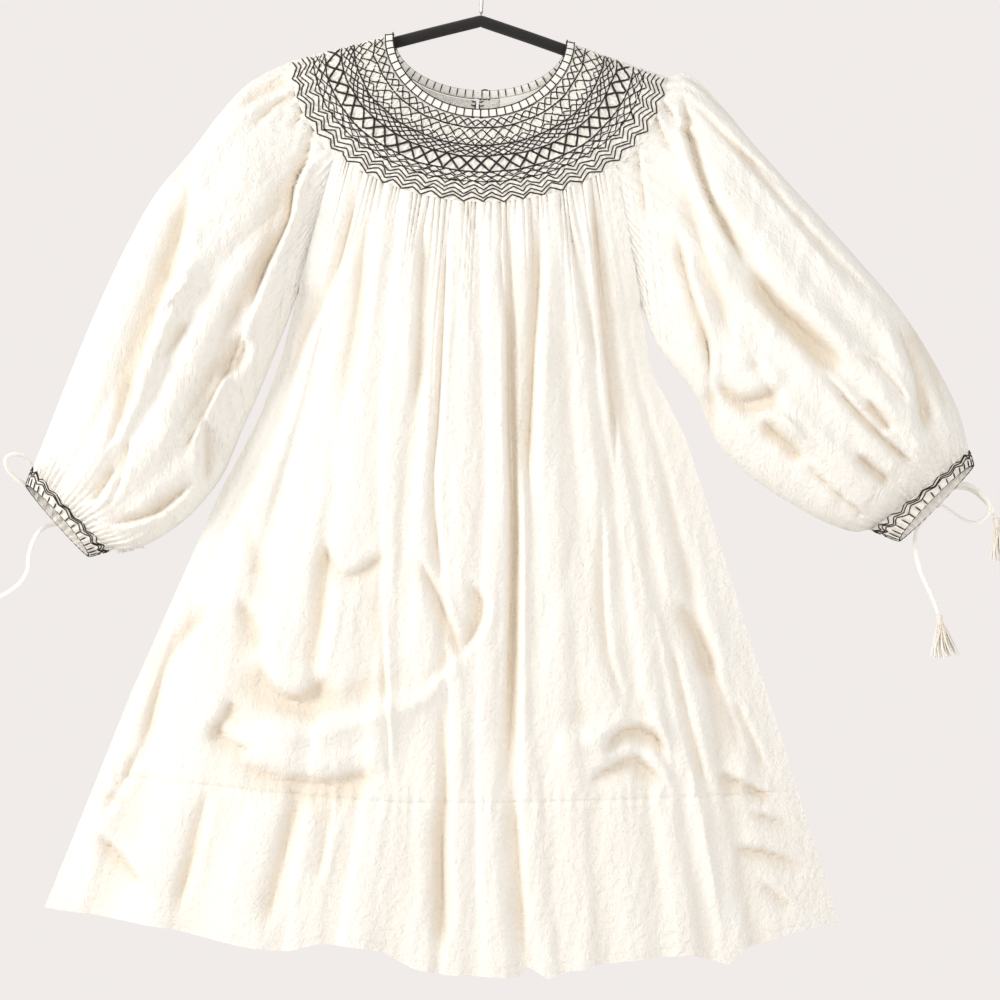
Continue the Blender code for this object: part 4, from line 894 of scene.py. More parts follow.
def crease_relief(creases, x, drop):
    """Sum of soft troughs, each on a smooth route that narrows and fades out towards its ends.

    A trough is steep on the right of its way down, with a low shoulder past it, and long on the left."""
    total = np.zeros_like(x)
    for width, depth, route in creases:
        line = smooth_route(route, CREASE_STEP)
        way = unit(np.gradient(line, axis=0))
        nearest = ((x[..., None] - line[:, 0]) ** 2 + (drop[..., None] - line[:, 1]) ** 2).argmin(axis=-1)
        beside = (drop - line[nearest, 1]) * way[nearest, 0] - (x - line[nearest, 0]) * way[nearest, 1]
        beyond = (drop - line[nearest, 1]) * way[nearest, 1] + (x - line[nearest, 0]) * way[nearest, 0]
        part = (nearest + np.clip(beyond / CREASE_STEP, -0.5, 0.5)) / (len(line) - 1)
        fade = smoothstep(part / CREASE_FADE) * smoothstep((1.0 - part) / CREASE_FADE)
        reach = width * np.where(beside > 0, CREASE_LONG_SIDE, CREASE_STEEP_SIDE) * (0.6 + 0.4 * fade)
        trough = np.exp(-(np.abs(beside / reach) ** 1.4))
        shoulder = CREASE_SHOULDER * np.exp(-(((beside + 1.7 * width) / (0.9 * width)) ** 2))
        total += depth * fade * (trough - shoulder)
    return total


def panel_surface(front, down, per_fold, settings):
    """x, depth and drop of a body panel's outer face, and the painted shade at each point.

    The depth is the side's depth, plus the fullness at the middle, plus the folds, minus the creases, plus
    the gathers that fade below the yoke, the puckers along the seams and the crinkle of the cotton."""
    across, relief = fold_columns(FRONT_FOLDS if front else BACK_FOLDS, down, per_fold)
    rows = np.repeat(down[:, None], across.shape[1], axis=1)
    chest = FRONT_CHEST if front else BACK_CHEST
    x, drop = body_outline(across, rows)
    fullness = smooth_between(rows, FULLNESS_TABLE[:, 0], FULLNESS_TABLE[:, 1 if front else 2])
    edge_x, edge_drop = body_outline(np.where(across < 0, -1.0, 1.0), rows)
    fade = smoothstep((1.0 - np.abs(across)) / 0.12)
    creases = crease_relief(FRONT_CREASES if front else BACK_CREASES, x, drop)
    below = drop - yoke_edge_drop(RAGLAN_TOP_X * across, SEAM_GAP)
    uneven = waves(across * PANEL_REACH, below, SEED + front, *UNEVEN_WAVES)
    drape = sharp_waves(across * PANEL_FLOW, below, SEED + 20 + front, *DRAPE_WAVES)
    relief *= 0.6 + 0.4 * smoothstep((below - 120) / 160)
    relief = (relief + DRAPE_DEPTH * drape * smoothstep(below / 60.0) - CREASE_DEEPENING * creases) * fade
    shift = 3.0 * waves(across * PANEL_REACH, below, SEED + 8 + front, *GATHER_WAVES)
    gathers = 0.3 - (0.5 + 0.5 * np.cos(2 * np.pi * settings.gathers * across + shift)) ** 5
    reach = np.maximum(GATHER_REACH * (1.3 + uneven), GATHER_SHORTEST)
    relief += settings.gather_depth * gathers * np.exp(-below / reach) * fade
    beside = np.abs(edge_x - x)
    sway = 2.0 * waves(x, drop, SEED + 3, *PUCKER_WAVES)
    side_puckers = np.sin(2 * np.pi * drop / SIDE_PUCKER_LENGTH + sway)
    side_puckers *= np.exp(-beside / SIDE_PUCKER_REACH) * smoothstep((drop - SIDE_PUCKERS_FROM) / 90)
    from_seam = np.abs(rows - 1.0) * PANEL_LENGTH
    seam_puckers = np.sin(2 * np.pi * x / SEAM_PUCKER_LENGTH + 3 * uneven)
    seam_puckers *= np.exp(-from_seam / SEAM_PUCKER_REACH)
    relief += SIDE_PUCKER_DEPTH * side_puckers + SEAM_PUCKER_DEPTH * seam_puckers * fade
    relief -= SEAM_GROOVE * np.exp(-from_seam / SEAM_GROOVE_REACH) * fade
    crumple = sharp_waves(x, drop, SEED + 30 + front, *CRUMPLE_WAVES)
    relief += CRUMPLE_DEPTH * crumple * (0.35 + 0.65 * smoothstep((below - 150) / 250)) * fade
    crinkle = waves(x, drop, SEED + 5, *CRINKLE_WAVES)
    depth = panel_edge_depth(across, edge_drop, chest) + fullness * middle_bulge(across) + relief
    depth += settings.crinkle * crinkle * smoothstep((1.0 - np.abs(across)) / 0.03)
    depth = np.maximum(depth, 0.0) + SEAM_GAP / 2 + CLOTH
    if front:
        on_band = smoothstep((rows - 1.0) / HEM_SPAN)
        for place, width, lift in HEM_LIFTS:
            drop = drop - lift * np.exp(-(((across - place) / width) ** 4)) * on_band
    # Painted shade: deeper where the relief sinks, and along the creases
    painted_shade = np.clip(PAINTED_SHADE_START - relief / PAINTED_SHADE_DEPTH + CREASE_PAINTED_SHADE * creases * fade, 0.0, 1.0)
    return x, depth, drop, painted_shade


def panel_rows(count):
    """Places down a panel from the yoke to the band seam, closer together at both ends."""
    return np.append(np.linspace(0.0, 0.9905, count) ** 1.1, [0.995, 0.998, 1.0 - 1e-9])


def add_panel(name, front, down, shader, settings):
    """One body panel or band as a thin wall."""
    per_fold = FRONT_FOLD_COLUMNS if front else BACK_FOLD_COLUMNS
    x, depth, drop, painted_shade = panel_surface(front, down, per_fold, settings)
    facing = facing_of(front)
    outer = at(x, facing * depth, drop)
    inner = at(x, facing * (depth - SHOWN_CLOTH), drop)
    uv = np.stack([x, -drop], axis=-1)
    return add_wall(name, outer, inner, shader, [name], uv, painted_shade)


# Yoke
def neck_curve(angle, drop, out):
    """Neck ellipse moved outwards, from the right shoulder (0) over the middle to the left one (pi)."""
    across = NECK_HALF_WIDTH + out
    start = SHOULDER_SLOPE * out
    return across * np.cos(angle), start + (drop + out - start) * np.sin(angle)


def yoke_curve(angle, out=0.0):
    across = YOKE_HALF_WIDTH + out
    return across * np.cos(angle), SHOULDER_END_DROP + (YOKE_DROP + out) * np.sin(angle)


def yoke_plan(angle, share, front):
    """x and drop of a yoke point, share 0 at the neck binding and 1 at the lower edge."""
    neck = NECK_FRONT_DROP if front else NECK_BACK_DROP
    neck_x, neck_drop = neck_curve(angle, neck, BINDING_HEIGHT / 2 + SEAM_GAP)
    low_x, low_drop = yoke_curve(angle)
    return neck_x + (low_x - neck_x) * share, neck_drop + (low_drop - neck_drop) * share


def yoke_outer(x, drop, share, front):
    """Depth of the yoke's outer face before its pleats."""
    chest = FRONT_CHEST if front else BACK_CHEST
    bust = (FRONT_BUST if front else BACK_FULLNESS) * share * middle_bulge(x / RAGLAN_TOP_X)
    return shoulder_depth(x, drop, chest) + bust + SEAM_GAP / 2 + CLOTH


def yoke_pleats(x, drop, share):
    """Fine pleats that run down from the neck and sway from side to side between the stitched rows."""
    angle = np.arctan2(drop - 10.0, x * 0.8)
    sway = SMOCKING_SWAY * np.sin(2 * np.pi * share * SMOCKING_SWAYS)
    pleat = 0.5 + 0.5 * np.cos(2 * np.pi * (SMOCKING_PLEATS * angle / np.pi + sway))
    return SMOCKING_RELIEF * pleat * smoothstep(share / 0.05) * smoothstep((1 - share) / 0.03)


def back_share(drop):
    top = SHOULDER_SLOPE * (BINDING_HEIGHT / 2 + SEAM_GAP)
    return np.clip((drop - top) / (YOKE_DROP + SHOULDER_END_DROP - top), 0, 1)


def yoke_point(x, drop, share, front, lift):
    """Point on the smocked face, raised by lift."""
    radial = share if front else back_share(drop)
    depth = yoke_outer(x, drop, radial, front) + yoke_pleats(x, drop, share) + lift
    return at(x, facing_of(front) * depth, drop)


def add_yoke_wall(name, front, x, drop, share, radial, inner_relief, pleat_painted_shade, shader):
    """Pleated wall of one yoke; inner_relief is how much of the pleats its inner face has."""
    pleats = yoke_pleats(x, drop, share)
    depth = yoke_outer(x, drop, radial, front)
    facing = facing_of(front)
    outer = at(x, facing * (depth + pleats), drop)
    inner = at(x, facing * (depth - SHOWN_CLOTH + inner_relief * pleats), drop)
    uv = np.stack([x, -drop], axis=-1)
    # Painted shade between the pleats, none at the neck edge
    painted_shade = pleat_painted_shade * (1 - pleats / SMOCKING_RELIEF) * smoothstep(share / 0.05)
    return add_wall(name, outer, inner, shader, [name], uv, painted_shade)


def add_yoke_front(shader):
    angle = np.linspace(0.0, np.pi, YOKE_FRONT_GRID[0])[None, :]
    share = np.linspace(0.0, 1.0, YOKE_FRONT_GRID[1])[:, None]
    x, drop = yoke_plan(angle, share, True)
    whole = np.broadcast_to(share, x.shape)
    return add_yoke_wall("yoke_front", True, x, drop, whole, whole, 0.0, FRONT_YOKE_PAINTED_SHADE, shader)


def slit_route():
    """x and drop of the back yoke's right neck edge, from the shoulder to the slit and down it."""
    half = np.linspace(0.0, np.pi / 2, 15)
    x, drop = neck_curve(half, NECK_BACK_DROP, BINDING_HEIGHT / 2 + SEAM_GAP)
    x = np.append(x[:-1], [SLIT_HALF_WIDTH * 0.25, SLIT_HALF_WIDTH, SLIT_HALF_WIDTH * 0.8])
    top = drop[-1]
    drop = np.append(drop[:-1], top + (SLIT_DROP - top) * np.array([0.0, 0.45, 0.85]))
    return x, drop


def add_yoke_back(shader):
    """Back yoke: its neck edge runs down one side of the slit and up the other."""
    side_x, side_drop = slit_route()
    edge_x = np.concatenate([side_x, [0.0], -side_x[::-1]])
    edge_drop = np.concatenate([side_drop, [SLIT_DROP], side_drop[::-1]])
    where = np.linspace(0.0, 1.0, YOKE_BACK_GRID[0])
    marks = np.linspace(0.0, 1.0, len(edge_x))
    neck_x, neck_drop = np.interp(where, marks, edge_x), np.interp(where, marks, edge_drop)
    low_x, low_drop = yoke_curve(where * np.pi)
    share = np.linspace(0.0, 1.0, YOKE_BACK_GRID[1])[:, None]
    x = neck_x + (low_x - neck_x) * share
    drop = neck_drop + (low_drop - neck_drop) * share
    whole = np.broadcast_to(share, x.shape)
    radial = back_share(drop)
    return add_yoke_wall(
        "yoke_back", False, x, drop, whole, radial, BACK_INNER_PLEATS, BACK_YOKE_PAINTED_SHADE, shader,
    )


def even_angles(places, share, front):
    """Angles at even lengths along the yoke's curve at one share down it."""
    angle = np.linspace(0.0, np.pi, 400)
    x, drop = yoke_plan(angle, share, front)
    length = lengths(np.column_stack([x, drop]))
    return np.interp(places, length / length[-1], angle)


def zigzag_thread(row, front, span, seed):
    """Path of one smocking thread: a wave round the yoke with rounded tops and pointed bottoms."""
    high, low, periods, phase, half_wide = row
    chance = np.random.default_rng(seed)
    count = int(periods * (span[1] - span[0]) * 10) + 1
    place = np.linspace(span[0], span[1], count)
    wave = np.abs(2 * np.mod(place * periods + phase, 1.0) - 1.0)
    marks = np.arange(0, count + 8, 4)
    wobble = np.interp(np.arange(count), marks, chance.normal(0, 1, len(marks)))
    sidewise = np.interp(np.arange(count), marks, chance.normal(0, 1, len(marks)))
    share = high + (low - high) * wave ** 1.2 + SMOCKING_WOBBLE * wobble
    angle = even_angles(place + SMOCKING_WOBBLE * 0.4 * sidewise, (high + low) / 2, front)
    x, drop = yoke_plan(angle, share, front)
    return yoke_point(x, drop, share, front, half_wide * 0.35)[None]


def add_smocking(front, shader):
    """Rows of black thread over the pleats: trellises, lines and chevrons."""
    facing = np.array([0.0, facing_of(front), 0.0])
    threads = Threads()
    spans = FRONT_SPANS if front else BACK_SPANS
    for number, row in enumerate(SMOCKING_ROWS):
        for span in spans:
            path = zigzag_thread(row, front, span, SEED + 40 + number)
            threads.add(path, np.broadcast_to(facing, path.shape), row[4])
    name = "smocking_front" if front else "smocking_back"
    return threads.make(name, shader)


# Neck binding, closure and label
def neck_loop(angle, out):
    """Middle line of the binding all round: front for angles under pi, back beyond."""
    front = angle <= np.pi
    turn = np.where(front, angle, 2 * np.pi - angle)
    front_x, front_drop = neck_curve(turn, NECK_FRONT_DROP, out)
    back_x, back_drop = neck_curve(turn, NECK_BACK_DROP, out)
    x = np.where(front, front_x, back_x)
    drop = np.where(front, front_drop, back_drop)
    below = np.clip(drop - SHOULDER_SLOPE * (np.abs(x) - NECK_HALF_WIDTH), 0.0, None)
    arch = BINDING_ARCH * np.sqrt(1.0 - (1.0 - np.minimum(below / BINDING_ARCH, 1.0)) ** 2)
    front_depth = np.maximum(shoulder_depth(x, drop, FRONT_CHEST) + CLOTH / 2, arch)
    back_depth = np.maximum(shoulder_depth(x, drop, BACK_CHEST) + CLOTH / 2, arch)
    depth = np.where(front, -front_depth, back_depth) * (below > 0.01)
    return at(x, depth, drop - BINDING_RISE)


def binding_frame(places):
    """Middle line of the binding at even places from 0 to 1 round from the slit, with its two directions."""
    middle_back = 1.5 * np.pi
    gap = BINDING_END_GAP / NECK_HALF_WIDTH / 2
    angle = np.linspace(middle_back + gap, middle_back - gap + 2 * np.pi, 1200)
    angle = np.mod(angle, 2 * np.pi)
    middle = neck_loop(angle, 0.0)
    outward = neck_loop(angle, BINDING_HEIGHT / 2) - neck_loop(angle, -BINDING_HEIGHT / 2)
    length = lengths(middle)
    length /= length[-1]
    middle = between(places, length, middle)
    outward = between(places, length, outward)
    along = unit(np.gradient(middle, axis=0)) if len(middle) > 2 else middle
    outward = unit(outward - (outward * along).sum(-1, keepdims=True) * along)
    return middle, outward, np.cross(along, outward)


def add_binding(shader):
    places = np.linspace(0.0, 1.0, BINDING_GRID[0])
    middle, outward, across = binding_frame(places)
    turn = np.linspace(0, 2 * np.pi, BINDING_GRID[1], endpoint=False)
    wide = np.sign(np.cos(turn)) * np.abs(np.cos(turn)) ** 0.45 * 0.5 * BINDING_HEIGHT
    high = np.sign(np.sin(turn)) * np.abs(np.sin(turn)) ** 0.6 * 0.5 * BINDING_THICKNESS
    rings = middle[:, None] + outward[:, None] * wide[None, :, None] + across[:, None] * high[None, :, None]
    uv = np.stack([np.repeat(places * BINDING_LENGTH, len(turn)), np.tile(wide, len(places))], axis=-1)
    return add_tube("neck_binding", rings, shader, ["neck_binding"], uv)


def add_binding_stitches(shader):
    """Blanket stitches: strokes over the band, an edging thread at each side, dashes on the inner face."""
    threads = Threads()
    middle, outward, across = binding_frame(np.linspace(0.004, 0.996, 401))
    for side in (-1.0, 1.0):
        path = middle + outward * (side * BINDING_HEIGHT * 0.47) + across * (BINDING_THICKNESS * 0.36)
        threads.add(path[None], across[None], BINDING_THREAD)
    count = BINDING_STITCHES
    chance = np.random.default_rng(SEED + 7)
    places = (np.arange(count) + 0.5) / count + chance.normal(0, 0.0007, count)
    dense = np.linspace(0.0, 1.0, 2001)
    middle, outward, across = (between(places, dense, part) for part in binding_frame(dense))
    middle, outward, across = middle[:, None], outward[:, None], across[:, None]
    for steps, facing, lean in ((STITCH_OVER, 1.0, 1.0), (STITCH_INSIDE, -1.0, 0.0)):
        wide, high = steps[None, :, :1], steps[None, :, 1:]
        paths = middle + outward * (wide * BINDING_HEIGHT) + across * (high * BINDING_THICKNESS)
        threads.add(paths, facing * across + lean * wide * outward, BINDING_THREAD)
    return threads.make("binding_stitches", shader)


def add_slit_stitches(shader):
    """Short overcast strokes down both edges of the back slit, seen on both faces."""
    side_x, side_drop = slit_route()
    slit_x, slit_drop = side_x[-3:], side_drop[-3:]
    drop = np.linspace(slit_drop[0] + 1.5, SLIT_DROP - 2.0, SLIT_STITCHES)
    edge = np.interp(drop, np.append(slit_drop, SLIT_DROP), np.append(slit_x, 0.0))
    threads = Threads()
    for side in (-1.0, 1.0):
        for face in (-1.0, 1.0):
            reach = np.array([0.2, 2.0, 4.5])
            x = side * (edge[:, None] + reach[None, :])
            down = drop[:, None] + np.array([0.0, 0.2, -0.8])[None, :]
            depth = yoke_outer(x, down, back_share(down), False)
            depth = depth + (SMOCKING_RELIEF + 0.3 if face > 0 else -SHOWN_CLOTH - 0.3)
            paths = at(x, depth, down)
            threads.add(paths, np.broadcast_to([0.0, face, 0.0], paths.shape), SLIT_THREAD)
        x = side * (edge + 0.3)
        depth = yoke_outer(x, drop, back_share(drop), False) - SHOWN_CLOTH / 2
        path = at(x, depth, drop)[None]
        threads.add(path, np.broadcast_to([-side, 0.0, 0.0], path.shape), SLIT_EDGE_THREAD)
    return threads.make("slit_stitches", shader)


def add_lathe(name, profile, centre, shader, nodes, sides=40):
    """Surface of revolution about an axis along Y: profile is radius and depth, closed at both ends."""
    turn = np.linspace(0, 2 * np.pi, sides, endpoint=False)
    profile = np.array(profile, float)
    x = centre[0] + profile[:, :1] * np.cos(turn)
    drop = centre[2] + profile[:, :1] * np.sin(turn)
    rings = at(x, centre[1] + profile[:, 1:] + 0 * x, drop)
    return add_tube(name, rings, shader, nodes)


def add_closure(button_shader, thread_shader):
    """Plain round button with a raised rim, and the thread loop round it."""
    face = BACK_CHEST + CLOTH / 2 + BINDING_THICKNESS / 2 + CLOSURE_GAP
    drop = NECK_BACK_DROP - BINDING_RISE
    centre = (BUTTON_X, face, drop)
    add_lathe("neck_button", BUTTON_PROFILE, centre, button_shader, ["neck_button"])
    reach = BUTTON_RADIUS + SEAM_GAP + LOOP_THREAD / 2 + 0.2
    turn = np.radians(np.linspace(-140, 140, 15))
    route = [(-3.5, face + 0.6, drop - 1.6)]
    route += [(BUTTON_X + reach * np.cos(part), face + 0.6, drop + reach * np.sin(part)) for part in turn]
    route.append((-3.5, face + 0.6, drop + 1.6))
    points = smooth_route(route, 0.8)
    path = at(points[:, 0], points[:, 1], points[:, 2])[None]
    threads = Threads()
    threads.add(path, np.broadcast_to([0.0, 1.0, 0.0], path.shape), LOOP_THREAD / 2, sides=8)
    return threads.make("neck_loop", thread_shader, ["neck_loop"])


def add_label(shader):
    """Bare woven tab under the binding, inside the back of the neck."""
    x = np.linspace(LABEL_FROM_X, LABEL_TO_X, LABEL_GRID[0])
    out = BINDING_HEIGHT / 2
    start = SHOULDER_SLOPE * out
    top = start + (NECK_BACK_DROP + out - start) * np.sqrt(1.0 - (x / (NECK_HALF_WIDTH + out)) ** 2)
    rows = np.linspace(0.0, 1.0, LABEL_GRID[1])[:, None]
    drop = top - BINDING_RISE + SEAM_GAP + LABEL_HEIGHT * rows
    across = np.broadcast_to(x, drop.shape)
    inner = shoulder_depth(across, drop, BACK_CHEST) - LABEL_CLEARANCE
    curl = 0.4 * np.sin(np.pi * rows) * np.ones_like(across)
    uv = np.stack([across, -drop], axis=-1)
    outer = at(across, inner - curl, drop)
    face = at(across, inner - curl - LABEL_THICKNESS * 0.7, drop)
    return add_wall("neck_label", outer, face, shader, ["neck_label"], uv, 0 * across)


# Sleeves and cuffs
def armhole(share, side):
    """Seam of the sleeve in the front plane, from the shoulder end to the underarm, and its front depth."""
    low_angle = np.arccos(RAGLAN_TOP_X / YOKE_HALF_WIDTH)
    angle = np.linspace(0.0, low_angle, 24)
    yoke_x, yoke_drop = yoke_curve(angle, SLEEVE_GAP)
    under_x = abs((LEFT_SLEEVE if side < 0 else RIGHT_SLEEVE)[0, 3])
    rag_drop = np.linspace(yoke_drop[-1], UNDERARM_DROP, 30)[1:]
    rag_x = table_column(SIDE_TABLE, 1 if side < 0 else 2, rag_drop) + SLEEVE_GAP
    rag_x[-1] = under_x
    x = np.concatenate([yoke_x, rag_x])
    drop = np.concatenate([yoke_drop, rag_drop])
    on_yoke = np.arange(len(x)) < len(angle)
    depth = np.where(on_yoke, shoulder_depth(x, drop, FRONT_CHEST), side_depth(drop, FRONT_CHEST))
    length = lengths(np.column_stack([x, drop]))
    length = np.interp(length, [0.0, length[len(angle) - 1], length[-1]], [0.0, CORNER_SHARE, 1.0])
    return np.interp(share, length, x) * side, np.interp(share, length, drop), np.interp(share, length, depth)


def sleeve_surface(table, folds, creases, along, around, settings):
    """x, depth and drop of the sleeve's outer face over places along it and angles round it, and its painted
    shade.

    Each ring is a flattened round over a line in the front plane, pressed in by folds and creases."""
    side = np.sign(table[0, 1])
    theta = np.linspace(0.0, 2 * np.pi, around, endpoint=False)[None, :]
    theta = theta + EDGE_SPACING * np.sin(2 * theta)
    along = along[:, None]
    share = (1.0 - np.cos(theta)) / 2
    facing = np.where(theta <= np.pi, -1.0, 1.0)
    column = [smooth_between(along, table[:, 0], table[:, number]) for number in range(1, 6)]
    root = 1.0 - smoothstep(along / SLEEVE_ROOT)
    seam_x, seam_drop, seam_depth = armhole(share, side)
    straight_x = table[0, 1] + (table[0, 3] - table[0, 1]) * share
    straight_drop = table[0, 2] + (table[0, 4] - table[0, 2]) * share
    x = column[0] + (column[2] - column[0]) * share + (seam_x - straight_x) * root
    drop = column[1] + (column[3] - column[1]) * share + (seam_drop - straight_drop) * root
    swell = np.abs(np.sin(theta))
    blend = smoothstep(along / 0.2)
    flat_depth = (seam_depth + CLOTH) * np.minimum(1.0, swell * 3.0)
    depth = flat_depth * (1 - blend) + column[4] * swell ** 0.85 * blend
    valley = np.zeros_like(depth)
    for row in folds:
        place = smooth_between(along, SLEEVE_LEVELS, row[1:6])
        deep = smooth_between(along, SLEEVE_LEVELS, row[6:11])
        near = np.exp(-(((share - place) / SLEEVE_FOLD_WIDTH) ** 2)) - 0.25
        valley += np.where(facing == row[0], deep * near, 0.0)
    crease = SLEEVE_DEEPENING * crease_relief(creases, x, drop) * np.where(facing < 0, 1.0, 0.6)
    uneven = waves(share * SLEEVE_REACH, along * 500, SEED + 9, *SLEEVE_UNEVEN_WAVES)
    top = np.cos(2 * np.pi * SLEEVE_TOP_GATHERS * share + 1.6 * uneven)
    top = SLEEVE_TOP_DEPTH * top * np.exp(-along / 0.10) * smoothstep(along / 0.02)
    low = np.cos(2 * np.pi * SLEEVE_END_GATHERS * share + 1.4 * uneven)
    low = SLEEVE_END_DEPTH * low * np.exp(-(1 - along) / 0.09)
    relief = -SLEEVE_FOLDING * valley * swell * blend - crease * np.minimum(1.0, swell * 1.6)
    relief += (top + low) * np.minimum(1.0, swell * 3) * (1 + 0.5 * uneven)
    drape = sharp_waves(share * SLEEVE_FLOW, along * SLEEVE_LENGTH, SEED + 12, *SLEEVE_DRAPE_WAVES)
    relief += SLEEVE_DRAPE * drape * np.minimum(1.0, swell * 1.5) * blend
    fine = settings.crinkle * waves(x, drop, SEED + 6, *SLEEVE_CRINKLE_WAVES)
    fine += CRUMPLE_DEPTH * sharp_waves(x, drop, SEED + 14, *SLEEVE_CRUMPLE_WAVES)
    relief += fine * np.minimum(1.0, swell * 4) * blend
    depth = np.maximum(depth + relief, depth * 0.2)
    # Painted shade: deeper where the relief sinks, and along the creases
    painted_shade = np.clip(PAINTED_SHADE_START - relief / PAINTED_SHADE_DEPTH + CREASE_PAINTED_SHADE * crease, 0.0, 1.0)
    return x + 0 * depth, facing * depth, drop + 0 * depth, painted_shade + 0 * depth


def add_sleeve(name, table, folds, creases, shader, settings):
    along = np.linspace(0.0, 1.0, SLEEVE_GRID[1])
    x, depth, drop, painted_shade = sleeve_surface(table, folds, creases, along, SLEEVE_GRID[0], settings)
    outer = at(x, depth, drop)
    round_way = np.roll(outer, -1, axis=1) - np.roll(outer, 1, axis=1)
    long_way = np.gradient(outer, axis=0)
    normal = unit(np.cross(round_way, long_way))
    centre = outer.mean(axis=1, keepdims=True)
    normal *= np.sign(((outer - centre) * normal).sum())
    inner = outer - normal * SHOWN_CLOTH
    inner[:, :, 1] = np.where(np.abs(depth) > 1.0, inner[:, :, 1], outer[:, :, 1] * 0.5)
    steps = np.linalg.norm(np.diff(outer, axis=1), axis=-1)
    around = np.concatenate([np.zeros((len(along), 1)), np.cumsum(steps, axis=1)], axis=1)
    down = np.broadcast_to(along[:, None] * SLEEVE_LENGTH, around.shape)
    uv = np.stack([around, -down], axis=-1)
    return add_wall(name, outer, inner, shader, [name], uv, painted_shade, closed=True)


def cuff_point(table, edge, share, theta, raised):
    """Point of the cuff between the sleeve's end and its free edge, raised off the plain tube.

    The front of the free edge leans back by the arch, and the back by the tilt."""
    end_outer, end_inner = table[-1, 1:3], table[-1, 3:5]
    axis = (np.add(*edge) - end_outer - end_inner) / 2
    axis = axis / np.linalg.norm(axis)
    share, theta = np.broadcast_arrays(share, theta)
    part = share[..., None]
    outer_edge = (end_outer + axis * SEAM_GAP) * (1 - part) + np.array(edge[0]) * part
    inner_edge = (end_inner + axis * SEAM_GAP) * (1 - part) + np.array(edge[1]) * part
    middle = (outer_edge + inner_edge) / 2
    reach = (inner_edge - outer_edge) / 2
    length = np.linalg.norm(reach, axis=-1, keepdims=True)
    deep = CUFF_HALF_DEPTH * (1 - 0.12 * share)
    swing = np.sin(theta)
    lean = (-share * np.where(swing > 0, CUFF_ARCH, CUFF_TILT) * swing)[..., None]
    wide = (length + raised[..., None]) / length
    flat = middle - reach * wide * np.cos(theta)[..., None] + axis * lean
    return at(flat[..., 0], -(deep + raised) * np.sin(theta), flat[..., 1])


def cuff_ribs(share, theta):
    """Fine gathers held by the cuff's stitching, opening into ripples at the free edge."""
    ribs = 0.5 + 0.5 * np.cos(2 * CUFF_RIBS * theta + 2.5 * np.sin(3 * theta))
    return CUFF_RELIEF * ribs * (0.5 + 0.9 * share)


def add_cuff(name, table, edge, shader):
    theta = np.linspace(0, 2 * np.pi, CUFF_GRID[0], endpoint=False)[None, :]
    share = np.linspace(0.0, 1.0, CUFF_GRID[1])[:, None]
    ribs = cuff_ribs(share, theta)
    outer = cuff_point(table, edge, share, theta, ribs)
    inner = cuff_point(table, edge, share, theta, ribs - SHOWN_CLOTH)
    uv = np.stack([theta * 50 + 0 * share, share * 25 + 0 * theta], axis=-1)
    # Painted shade in the valleys between the ribs
    painted_shade = 0.5 * (1 - ribs / CUFF_RELIEF).clip(0, 1)
    return add_wall(name, outer, inner, shader, [name], uv, painted_shade, closed=True)


def add_cuff_stitches(name, table, edge, shader):
    """Three zigzag rows of black thread, a blanket-stitch row at the free edge and its edging."""
    threads = Threads()
    turn = np.linspace(0, 2 * np.pi, 361)[:-1]
    for number, (high, low) in enumerate(CUFF_ROWS):
        wave = np.abs(2 * np.mod(turn / (2 * np.pi) * CUFF_ZIGZAGS + 0.03 * number, 1.0) - 1.0)
        uneven = 0.035 * np.sin(5 * turn + 2 * number) + 0.025 * np.sin(13 * turn + 3 * number)
        share = np.clip(high + (low - high) * wave + uneven, 0.0, 1.0)
        path = cuff_point(table, edge, share, turn, cuff_ribs(share, turn) + 0.25)
        normal = path - path.mean(axis=0)
        threads.add(path[None], normal[None], CUFF_THREAD, closed=True)
    share = np.full_like(turn, 0.99)
    path = cuff_point(table, edge, share, turn, cuff_ribs(share, turn) - SHOWN_CLOTH / 2)
    threads.add(path[None], (path - path.mean(axis=0))[None], CUFF_EDGE_THREAD, closed=True)
    places = np.linspace(0, 2 * np.pi, CUFF_STITCHES, endpoint=False)[:, None]
    share = np.array([0.56, 0.72, 0.88, 1.0])[None, :] + 0 * places
    theta = places + 0.05 * share
    path = cuff_point(table, edge, share, theta, cuff_ribs(share, theta) + 0.3)
    threads.add(path, path - path.mean(axis=(0, 1)), CUFF_STITCH_THREAD)
    return threads.make(name, shader)


# Ties and tassels
def knot_exit(knot, towards):
    """Place just off the knot's face, on the way to a route point."""
    way = np.subtract(towards, knot)
    way = way / np.linalg.norm(way)
    reach = 1.0 / np.linalg.norm(way / np.array(KNOT_SIZE))
    return tuple(np.add(knot, way * (reach + SEAM_GAP)))


def add_tie(name, route, shader, twist):
    """Flat tape along a route, turning edge-on and back."""
    points = smooth_route(route, TIE_STEP)
    path = at(points[:, 0], points[:, 1], points[:, 2])
    along = unit(np.gradient(path, axis=0))
    base = unit(np.array([0.0, -1.0, 0.0]) + along * along[:, 1:2])
    beside = np.cross(along, base)
    part = np.linspace(0, 1, len(path))
    angle = (twist[0] + (twist[1] - twist[0]) * smoothstep(part))[:, None]
    normal = base * np.cos(angle) + beside * np.sin(angle)
    threads = Threads()
    threads.add(path[None], normal[None], TIE_WIDTH / 2 + 0.1, TAPE_HALF_THICKNESS, sides=10, taper=0.9)
    painted_shade = np.zeros(len(path) * 10)
    obj = threads.make(name, shader, [name], painted_shade)
    return obj


